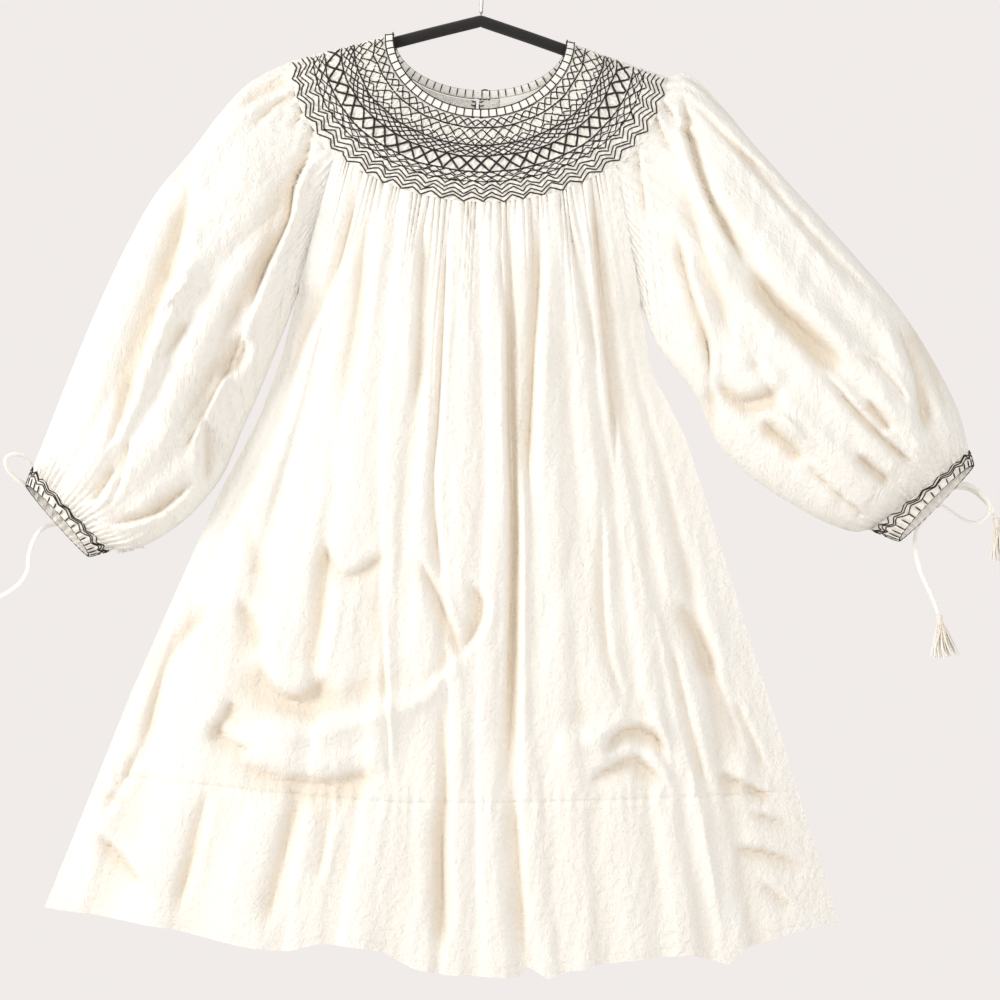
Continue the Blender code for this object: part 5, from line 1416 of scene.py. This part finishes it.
def add_knot(name, centre, shader):
    """Lump of two crossed wraps: an ellipsoid with a groove that runs round it aslant."""
    around = np.linspace(0, 2 * np.pi, 36, endpoint=False)[None, :]
    up = np.linspace(-0.48 * np.pi, 0.48 * np.pi, 17)[:, None]
    groove = 1.0 - KNOT_GROOVE * np.exp(-((np.sin(around - 0.6 + 1.2 * up) / KNOT_GROOVE_WIDTH) ** 2))
    groove = groove + 0.05 * np.sin(3 * around + 4 * up)
    x = centre[0] + KNOT_SIZE[0] * groove * np.cos(up) * np.cos(around)
    y = centre[1] + KNOT_SIZE[1] * groove * np.cos(up) * np.sin(around)
    drop = centre[2] - KNOT_SIZE[2] * groove * np.sin(up)
    return add_tube(name, at(x, y, drop), shader, [name])


def add_tassel(name, top, aim, shader):
    """Wrapped head and flaring strands; the strands start inside the head and part towards their tips."""
    aim = np.asarray(aim, float) / np.linalg.norm(aim)
    side_way = unit(np.cross(aim, (0.0, 1.0, 0.0)))
    deep_way = np.cross(aim, side_way)
    chance = np.random.default_rng(SEED + len(name))
    turn = np.linspace(0, 2 * np.pi, 20, endpoint=False)

    def placed(radius, along, angle):
        flat = np.cos(angle)[..., None] * side_way + 0.8 * np.sin(angle)[..., None] * deep_way
        spot = np.asarray(top, float) + aim * along[..., None] + flat * radius[..., None]
        return at(spot[..., 0], spot[..., 1], spot[..., 2])

    radius = TASSEL_HEAD_RADIUS * TASSEL_PROFILE[:, :1] * (1 + 0.04 * np.cos(9 * turn))
    head = placed(radius, TASSEL_PROFILE[:, 1:] + 0 * turn, turn + 0 * radius)
    count = TASSEL_STRANDS
    angle = 2.4 * np.arange(count) + chance.normal(0, 0.1, count)
    reach = np.sqrt((np.arange(count) + 0.5) / count)
    part = np.linspace(0, 1, 8)[None, :]
    start = TASSEL_HEAD_LENGTH - 1.0
    longest = TASSEL_LENGTH - start
    length = longest * (1 - 0.12 * chance.random(count))[:, None]
    spread = reach[:, None] * (TASSEL_HEAD_RADIUS * 0.75 + (TASSEL_SPREAD - 3) * part ** 0.9)
    angle = angle[:, None]
    wave = angle + chance.normal(0, 0.25, count)[:, None] * part + 0.12 * np.sin(5 * part + angle)
    paths = placed(spread, start + length * part, wave)
    threads = Threads()
    threads.points.append(head.reshape(-1, 3))
    for group in tube_groups(head[None], False):
        threads.groups.setdefault(group.shape[1], []).append(group)
    threads.count = head.shape[0] * head.shape[1]
    normal = np.broadcast_to(np.array([0.0, -1.0, 0.1]), paths.shape)
    threads.add(paths, normal, STRAND_HALF_WIDTH, sides=4, taper=0.6)
    # Painted shade: half on the head, and on the strands most near the head, none at their tips
    head_painted_shade = np.full(threads.count - paths.shape[0] * paths.shape[1] * 4, 0.5)
    strand_painted_shade = np.repeat(np.tile(0.75 * (1 - part[0]) ** 1.2, count), 4)
    return threads.make(name, shader, [name], np.concatenate([head_painted_shade, strand_painted_shade]))


# Hanger
def add_bar(name, route, half_wide, half_high, sides, shader, ends):
    """Round-ended bar along a route in the front plane."""
    along = unit(np.gradient(route, axis=0))
    height_way = np.cross(along, (0.0, 1.0, 0.0))
    turn = np.linspace(0, 2 * np.pi, sides, endpoint=False)
    distance = lengths(route)
    from_end = np.minimum(distance, distance[-1] - distance)
    scale = np.sqrt(np.clip(1 - (1 - np.minimum(from_end / ends, 1.0)) ** 2, 0.03, 1.0))[:, None, None]
    rings = route[:, None] + scale * (
        half_wide * np.cos(turn)[None, :, None] * np.array([0.0, 1.0, 0.0])
        + half_high * np.sin(turn)[None, :, None] * height_way[:, None]
    )
    return add_tube(name, rings, shader, [name])


def add_hanger(arm_shader, hook_shader):
    half = smooth_route(np.column_stack([ARM_ROUTE[:, 0], 0 * ARM_ROUTE[:, 0], ARM_ROUTE[:, 1]]), 3.0)
    x = np.concatenate([-half[:0:-1, 0], half[:, 0]])
    drop = np.concatenate([half[:0:-1, 2], half[:, 2]])
    add_bar("hanger", at(x, 0.0, drop), ARM_THICKNESS / 2, ARM_HEIGHT / 2, 20, arm_shader, 5.0)
    ring = HOOK_INNER_RADIUS + HOOK_WIRE / 2
    centre_drop = -(HOOK_ABOVE_NECK - HOOK_INNER_RADIUS)
    turn = np.radians(np.linspace(HOOK_FROM, HOOK_TO, 20))
    foot = ARM_ROUTE[0, 1] - ARM_HEIGHT / 2 - SEAM_GAP
    route = [(0.0, 0.0, foot), (0.0, 0.0, foot - 12.0), (0.0, 0.0, foot - 24.0), (1.0, 0.0, foot - 34.0)]
    route += [(ring * np.cos(angle), 0.0, centre_drop - ring * np.sin(angle)) for angle in turn]
    points = smooth_route(route, 2.0)
    route = at(points[:, 0], points[:, 1], points[:, 2])
    return add_bar("hanger_hook", route, HOOK_WIRE / 2, HOOK_WIRE / 2, 16, hook_shader, 1.5)


# Sewing
def add_topstitch(shader, settings):
    """White dashes along the band seam and the hem of the front and back, lying on the cloth."""
    threads = Threads()
    for front in (True, False):
        facing = facing_of(front)
        per_fold = 20 if front else 16
        for down in TOPSTITCH_ROWS:
            level = np.array([down - 0.01, down, down + 0.01])
            x, depth, drop = panel_surface(front, level, per_fold, settings)[:3]
            line = at(x[1], facing * (depth[1] + 0.15), drop[1])
            length = lengths(line)
            starts = np.arange(4.0, length[-1] - 6.0, TOPSTITCH_SPACING)
            where = starts[:, None] + TOPSTITCH_LENGTH * np.array([0.0, 0.5, 1.0])[None, :]
            paths = between(where, length, line)
            threads.add(paths, np.broadcast_to([0.0, facing, 0.0], paths.shape), TOPSTITCH_THREAD, sides=4)
    return threads.make("hem_topstitch", shader)


# Materials: cotton, and plain finishes with a fine noise
def new_material(name):
    made = bpy.data.materials.new(name)
    made.use_nodes = True
    return made, made.node_tree, made.node_tree.nodes["Principled BSDF"]


def cotton_group():
    """Node group of crinkled slubby cotton: its colour with painted shade in folds, and its bumped normal."""
    found = bpy.data.node_groups.get("crinkled_cotton")
    if found:
        return found
    group = bpy.data.node_groups.new("crinkled_cotton", "ShaderNodeTree")
    face = group.interface
    face.new_socket("Cloth", in_out="INPUT", socket_type="NodeSocketColor")
    face.new_socket("Painted Shade Colour", in_out="INPUT", socket_type="NodeSocketColor")
    face.new_socket("Crinkle", in_out="INPUT", socket_type="NodeSocketFloat")
    face.new_socket("Colour", in_out="OUTPUT", socket_type="NodeSocketColor")
    face.new_socket("Normal", in_out="OUTPUT", socket_type="NodeSocketVector")
    nodes, links = group.nodes, group.links
    inputs, outputs = nodes.new("NodeGroupInput"), nodes.new("NodeGroupOutput")
    place = nodes.new("ShaderNodeUVMap")
    place.uv_map = "cloth"

    def noise(scale, detail, distortion):
        stretch = nodes.new("ShaderNodeMapping")
        stretch.inputs["Scale"].default_value = scale
        links.new(place.outputs["UV"], stretch.inputs["Vector"])
        texture = nodes.new("ShaderNodeTexNoise")
        texture.noise_dimensions = "2D"
        texture.inputs["Scale"].default_value = 1.0
        texture.inputs["Detail"].default_value = detail
        texture.inputs["Distortion"].default_value = distortion
        links.new(stretch.outputs["Vector"], texture.inputs["Vector"])
        return texture.outputs["Fac"]

    # Painted shade: the mesh's shade share, plus random tone patches, tints the cloth towards the shade
    # colour
    painted_shade = nodes.new("ShaderNodeAttribute")
    painted_shade.attribute_name = "painted_shade"
    patches_and_painted_shade = nodes.new("ShaderNodeMath")
    patches_and_painted_shade.operation = "MULTIPLY_ADD"
    patches_and_painted_shade.inputs[1].default_value = 0.25
    links.new(noise((14.0, 9.0, 1.0), 2.0, 0.3), patches_and_painted_shade.inputs[0])
    links.new(painted_shade.outputs["Fac"], patches_and_painted_shade.inputs[2])
    shift = nodes.new("ShaderNodeMath")
    shift.operation = "SUBTRACT"
    shift.use_clamp = True
    shift.inputs[1].default_value = 0.1
    links.new(patches_and_painted_shade.outputs[0], shift.inputs[0])
    tint = nodes.new("ShaderNodeMix")
    tint.data_type = "RGBA"
    links.new(shift.outputs[0], tint.inputs["Factor"])
    links.new(inputs.outputs["Cloth"], tint.inputs["A"])
    links.new(inputs.outputs["Painted Shade Colour"], tint.inputs["B"])
    links.new(tint.outputs["Result"], outputs.inputs["Colour"])
    normal = None
    for across, down, detail, distortion, distance in COTTON_BUMPS:
        bump = nodes.new("ShaderNodeBump")
        bump.inputs["Distance"].default_value = distance
        links.new(inputs.outputs["Crinkle"], bump.inputs["Strength"])
        links.new(noise((across, down, 1.0), detail, distortion), bump.inputs["Height"])
        if normal is not None:
            links.new(normal, bump.inputs["Normal"])
        normal = bump.outputs["Normal"]
    links.new(normal, outputs.inputs["Normal"])
    return group


def cotton(name, cloth, painted_shade, crinkle):
    """White cotton with a slight gloss and painted shade in its folds."""
    found = bpy.data.materials.get(name)
    if found:
        return found
    made, tree, shader = new_material(name)
    group = tree.nodes.new("ShaderNodeGroup")
    group.node_tree = cotton_group()
    group.inputs["Cloth"].default_value = (*cloth, 1.0)
    group.inputs["Painted Shade Colour"].default_value = (*painted_shade, 1.0)
    group.inputs["Crinkle"].default_value = crinkle
    tree.links.new(group.outputs["Colour"], shader.inputs["Base Color"])
    tree.links.new(group.outputs["Normal"], shader.inputs["Normal"])
    shader.inputs["Roughness"].default_value = COTTON_ROUGHNESS
    shader.inputs["Specular IOR Level"].default_value = COTTON_GLOSS
    return made


def fleck_material(name, colour, roughness, sheen, scale, distance, metallic=0.0):
    """Plain finish with a fine noise in its surface, in object coordinates."""
    found = bpy.data.materials.get(name)
    if found:
        return found
    made, tree, shader = new_material(name)
    place = tree.nodes.new("ShaderNodeTexCoord")
    texture = tree.nodes.new("ShaderNodeTexNoise")
    texture.inputs["Scale"].default_value = scale
    texture.inputs["Detail"].default_value = NOISE_DETAIL
    bump = tree.nodes.new("ShaderNodeBump")
    bump.inputs["Strength"].default_value = NOISE_STRENGTH
    bump.inputs["Distance"].default_value = distance
    tree.links.new(place.outputs["Object"], texture.inputs["Vector"])
    tree.links.new(texture.outputs["Fac"], bump.inputs["Height"])
    tree.links.new(bump.outputs["Normal"], shader.inputs["Normal"])
    shader.inputs["Base Color"].default_value = (*colour, 1.0)
    shader.inputs["Roughness"].default_value = roughness
    shader.inputs["Metallic"].default_value = metallic
    shader.inputs["Sheen Weight"].default_value = sheen
    return made


# Settings of the add-on
class DressSettings(bpy.types.PropertyGroup):
    cloth_colour: bpy.props.FloatVectorProperty(
        name="Cloth", description="Colour of the cotton where the light falls on it", subtype="COLOR", size=3,
        default=(0.93, 0.905, 0.855), min=0.0, max=1.0,
    )
    # Painted shade: the colour that the cloth is tinted towards in its folds and hollows, in place of their
    # shade
    painted_shade_colour: bpy.props.FloatVectorProperty(
        name="Painted Shade", description="Colour of the cotton deep in its folds", subtype="COLOR", size=3,
        default=(0.80, 0.72, 0.61), min=0.0, max=1.0,
    )
    thread_colour: bpy.props.FloatVectorProperty(
        name="Embroidery", description="Colour of the smocking thread", subtype="COLOR", size=3,
        default=(0.012, 0.008, 0.009), min=0.0, max=1.0,
    )
    gathers: bpy.props.IntProperty(
        name="Gathers", description="Half the number of fine gathers below the yoke",
        default=22, min=4, max=40,
    )
    gather_depth: bpy.props.FloatProperty(
        name="Gather Depth", description="Depth of the fine gathers in millimetres",
        default=4.2, min=0.0, max=6.0,
    )
    crinkle: bpy.props.FloatProperty(
        name="Crinkle", description="Height of the cotton's crinkles in millimetres",
        default=0.28, min=0.0, max=1.5,
    )


class StageSettings(bpy.types.PropertyGroup):
    backdrop_colour: bpy.props.FloatVectorProperty(
        name="Backdrop", description="Colour of the wall behind the dress", subtype="COLOR", size=3,
        default=(0.877, 0.838, 0.82), min=0.0, max=1.0,
    )
    key_power: bpy.props.FloatProperty(
        name="Key Light", description="Power of the large soft light at the upper left",
        default=52.0, min=0.0, subtype="POWER",
    )
    fill_power: bpy.props.FloatProperty(
        name="Fill Light", description="Power of the soft light in front",
        default=34.0, min=0.0, subtype="POWER",
    )
    sky: bpy.props.FloatProperty(
        name="Room Light", description="Strength of the light from all round", default=0.46, min=0.0, max=3.0,
    )


# Operators: one for each group of pieces, and one for the stage
def cloth_of(settings):
    return cotton("white_cotton", settings.cloth_colour, settings.painted_shade_colour, 1.0)


def tape_of(settings):
    return cotton("tie_cotton", settings.cloth_colour, settings.painted_shade_colour, TAPE_CRINKLE)


def thread_of(settings):
    return fleck_material("embroidery_thread", settings.thread_colour, *THREAD_FINISH)


class DRESS_OT_camera(bpy.types.Operator):
    """Place the camera where the photo was taken from"""

    bl_idname = "dress.camera"
    bl_label = "Camera"

    def execute(self, context):
        data = bpy.data.cameras.new("camera")
        data.lens = CAMERA_LENS
        data.sensor_width = CAMERA_SENSOR
        camera = bpy.data.objects.new("camera", data)
        context.scene.collection.objects.link(camera)
        lean = math.radians(CAMERA_ROLL)
        cosine, sine = math.cos(lean), math.sin(lean)
        place = CAMERA_PLACE
        camera.matrix_world = Matrix((
            (cosine, -sine, 0.0, place[0]),
            (0.0, 0.0, -1.0, place[1]),
            (sine, cosine, 0.0, place[2]),
            (0.0, 0.0, 0.0, 1.0),
        ))
        context.scene.camera = camera
        return {"FINISHED"}


class DRESS_OT_ties(bpy.types.Operator):
    """Make the cuff ties with their knots and tassels"""

    bl_idname = "dress.ties"
    bl_label = "Ties and Tassels"

    def execute(self, context):
        shader = tape_of(context.scene.dress)
        for place, knot, loop, twist in (
            ("left", LEFT_KNOT, LEFT_LOOP, (0.1, 0.6)),
            ("right", RIGHT_KNOT, RIGHT_LOOP, (0.1, 0.9)),
        ):
            add_knot(f"tie_{place}_knot", knot, shader)
            route = [knot_exit(knot, loop[0])] + loop + [knot_exit(knot, loop[-1])]
            add_tie(f"tie_{place}_loop", route, shader, twist)
        for place, knot, tail, twist in (
            ("left_shown", LEFT_KNOT, LEFT_TAIL_SHOWN, (0.1, 0.5)),
            ("left_hidden", LEFT_KNOT, LEFT_TAIL_HIDDEN, (0.3, 0.6)),
            ("right_side", RIGHT_KNOT, RIGHT_TAIL_SIDE, (0.7, 0.2)),
            ("right_down", RIGHT_KNOT, RIGHT_TAIL_DOWN, (0.6, 0.1)),
        ):
            route = [knot_exit(knot, tail[0])] + tail
            points = smooth_route(route, 10.0)
            aim = points[-1] - points[-2]
            aim /= np.linalg.norm(aim)
            hang = aim + np.array([0.0, 0.0, TASSEL_WEIGHT])
            tassel = add_tassel("tassel_" + place, points[-1] + aim * TASSEL_NECK, hang, shader)
            add_tie("tie_" + place, route, shader, twist)
        return {"FINISHED"}


class DRESS_OT_body(bpy.types.Operator):
    """Make the gathered front and back of the body and their hem bands"""

    bl_idname = "dress.body"
    bl_label = "Body and Hem Bands"

    def execute(self, context):
        settings = context.scene.dress
        shader = cloth_of(settings)
        front = add_panel("body_front", True, panel_rows(FRONT_ROWS), shader, settings)
        back = add_panel("body_back", False, panel_rows(BACK_ROWS), shader, settings)
        down = 1.0 + HEM_SPAN * np.append([0.0, 0.01, 0.03], np.linspace(0.06, 1.0, BAND_ROWS))
        band = add_panel("hem_band_front", True, down, shader, settings)
        band = add_panel("hem_band_back", False, down, shader, settings)
        return {"FINISHED"}


class DRESS_OT_yoke(bpy.types.Operator):
    """Make the pleated yoke, front and back, with its rows of black smocking thread"""

    bl_idname = "dress.yoke"
    bl_label = "Smocked Yoke"

    def execute(self, context):
        settings = context.scene.dress
        shader, thread = cloth_of(settings), thread_of(settings)
        front = add_yoke_front(shader)
        back = add_yoke_back(shader)
        front_threads = add_smocking(True, thread)
        back_threads = add_smocking(False, thread)
        return {"FINISHED"}


class DRESS_OT_neck(bpy.types.Operator):
    """Make the neck binding with its blanket stitches, the slit's stitches, the closure and the bare label"""

    bl_idname = "dress.neck"
    bl_label = "Neck"

    def execute(self, context):
        settings = context.scene.dress
        shader, thread = tape_of(settings), thread_of(settings)
        add_binding(shader)
        add_binding_stitches(thread)
        add_slit_stitches(thread)
        add_closure(fleck_material("button_shell", *BUTTON_FINISH), thread)
        add_label(shader)
        return {"FINISHED"}


class DRESS_OT_sleeves(bpy.types.Operator):
    """Make the puffed sleeves and their smocked cuffs"""

    bl_idname = "dress.sleeves"
    bl_label = "Sleeves and Cuffs"

    def execute(self, context):
        settings = context.scene.dress
        shader, thread = cloth_of(settings), thread_of(settings)
        for place, table, folds, creases, edge, cut, cuff_length in (
            ("left", LEFT_SLEEVE, LEFT_FOLDS, LEFT_SLEEVE_CREASES, LEFT_CUFF_EDGE, 0.175, 0.16),
            ("right", RIGHT_SLEEVE, RIGHT_FOLDS, RIGHT_SLEEVE_CREASES, RIGHT_CUFF_EDGE, 0.19, 0.18),
        ):
            sleeve = add_sleeve(f"sleeve_{place}", table, folds, creases, shader, settings)
            cuff = add_cuff(f"cuff_{place}", table, edge, shader)
            stitches = add_cuff_stitches(f"cuff_stitches_{place}", table, edge, thread)
        return {"FINISHED"}


class DRESS_OT_sewing(bpy.types.Operator):
    """Make the topstitching along the band seams and hems"""

    bl_idname = "dress.sewing"
    bl_label = "Topstitching"

    def execute(self, context):
        settings = context.scene.dress
        add_topstitch(tape_of(settings), settings)
        return {"FINISHED"}


class DRESS_OT_hanger(bpy.types.Operator):
    """Make the flocked hanger and its metal hook"""

    bl_idname = "dress.hanger"
    bl_label = "Hanger"

    def execute(self, context):
        flock = fleck_material("black_flock", *FLOCK_FINISH)
        steel = fleck_material("hook_steel", *STEEL_FINISH)
        add_hanger(flock, steel)
        return {"FINISHED"}


def corners_of(half_width, low, high):
    return [(-half_width, low), (half_width, low), (half_width, high), (-half_width, high)]


def add_plane(name, corners, shader):
    mesh = bpy.data.meshes.new(name)
    mesh.from_pydata(corners, [], [(0, 1, 2, 3)])
    mesh.materials.append(shader)
    obj = bpy.data.objects.new(name, mesh)
    bpy.context.scene.collection.objects.link(obj)
    return obj


def add_area_light(name, parts, power):
    """Square soft light of a place, size and colour that shines on the dress and isn't seen itself."""
    place, size, colour = parts
    data = bpy.data.lights.new(name, "AREA")
    data.shape = "RECTANGLE"
    data.size = data.size_y = size
    data.energy = power
    data.color = colour
    light = bpy.data.objects.new(name, data)
    bpy.context.scene.collection.objects.link(light)
    light.visible_camera = False
    light.location = place
    way = np.subtract(LIGHT_TARGET, place)
    light.rotation_euler = (
        math.acos(-way[2] / float(np.linalg.norm(way))),
        0.0,
        math.atan2(way[1], way[0]) - math.pi / 2,
    )
    return light


class DRESS_OT_stage(bpy.types.Operator):
    """Make the pale backdrop and floor, the soft lights and the room light"""

    bl_idname = "dress.stage"
    bl_label = "Stage"

    def execute(self, context):
        settings = context.scene.dress_stage
        made, _, shader = new_material("backdrop")
        shader.inputs["Base Color"].default_value = (0.0, 0.0, 0.0, 1.0)
        shader.inputs["Specular IOR Level"].default_value = 0.0
        shader.inputs["Emission Color"].default_value = (*settings.backdrop_colour, 1.0)
        shader.inputs["Emission Strength"].default_value = 1.0
        low, high = BACKDROP_HEIGHTS
        wall = [(x, BACKDROP_Y, z) for x, z in corners_of(BACKDROP_HALF_WIDTH, low, high)]
        backdrop = add_plane("backdrop", wall, made)
        made, _, shader = new_material("floor")
        shader.inputs["Base Color"].default_value = (*FLOOR_COLOUR, 1.0)
        shader.inputs["Roughness"].default_value = 0.8
        near, far = FLOOR_DEPTHS
        ground = [(x, y, FLOOR_Z) for x, y in corners_of(FLOOR_HALF_WIDTH, near, far)]
        floor = add_plane("floor", ground, made)
        key = add_area_light("key", KEY_LIGHT, settings.key_power)
        fill = add_area_light("fill", FILL_LIGHT, settings.fill_power)
        world = bpy.data.worlds.new("room")
        world.use_nodes = True
        background = world.node_tree.nodes["Background"]
        background.inputs["Color"].default_value = (*ROOM_COLOUR, 1.0)
        background.inputs["Strength"].default_value = settings.sky
        context.scene.world = world
        context.scene.view_settings.view_transform = "Standard"
        return {"FINISHED"}


# Panel and registration
class DRESS_PT_panel(bpy.types.Panel):
    """Steps and sizes of the mini dress"""

    bl_label = "Mini Dress"
    bl_idname = "DRESS_PT_panel"
    bl_space_type = "VIEW_3D"
    bl_region_type = "UI"
    bl_category = "Mini Dress"

    def draw(self, context):
        for step in STEPS:
            self.layout.operator(step.bl_idname)
        for group in (context.scene.dress, context.scene.dress_stage):
            for name in group.__annotations__:
                self.layout.prop(group, name)


STEPS = (
    DRESS_OT_camera,
    DRESS_OT_ties,
    DRESS_OT_body,
    DRESS_OT_yoke,
    DRESS_OT_neck,
    DRESS_OT_sleeves,
    DRESS_OT_sewing,
    DRESS_OT_hanger,
    DRESS_OT_stage,
)


def register():
    for made in (DressSettings, StageSettings, *STEPS, DRESS_PT_panel):
        bpy.utils.register_class(made)
    bpy.types.Scene.dress = bpy.props.PointerProperty(type=DressSettings)
    bpy.types.Scene.dress_stage = bpy.props.PointerProperty(type=StageSettings)


def unregister():
    del bpy.types.Scene.dress_stage
    del bpy.types.Scene.dress
    for made in (DRESS_PT_panel, *reversed(STEPS), StageSettings, DressSettings):
        bpy.utils.unregister_class(made)


def main():
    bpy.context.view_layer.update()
    register()
    bpy.ops.dress.camera()
    bpy.ops.dress.ties()
    bpy.ops.dress.body()
    bpy.ops.dress.yoke()
    bpy.ops.dress.neck()
    bpy.ops.dress.sleeves()
    bpy.ops.dress.sewing()
    bpy.ops.dress.hanger()
    bpy.ops.dress.stage()


if __name__ == "__main__":
    main()
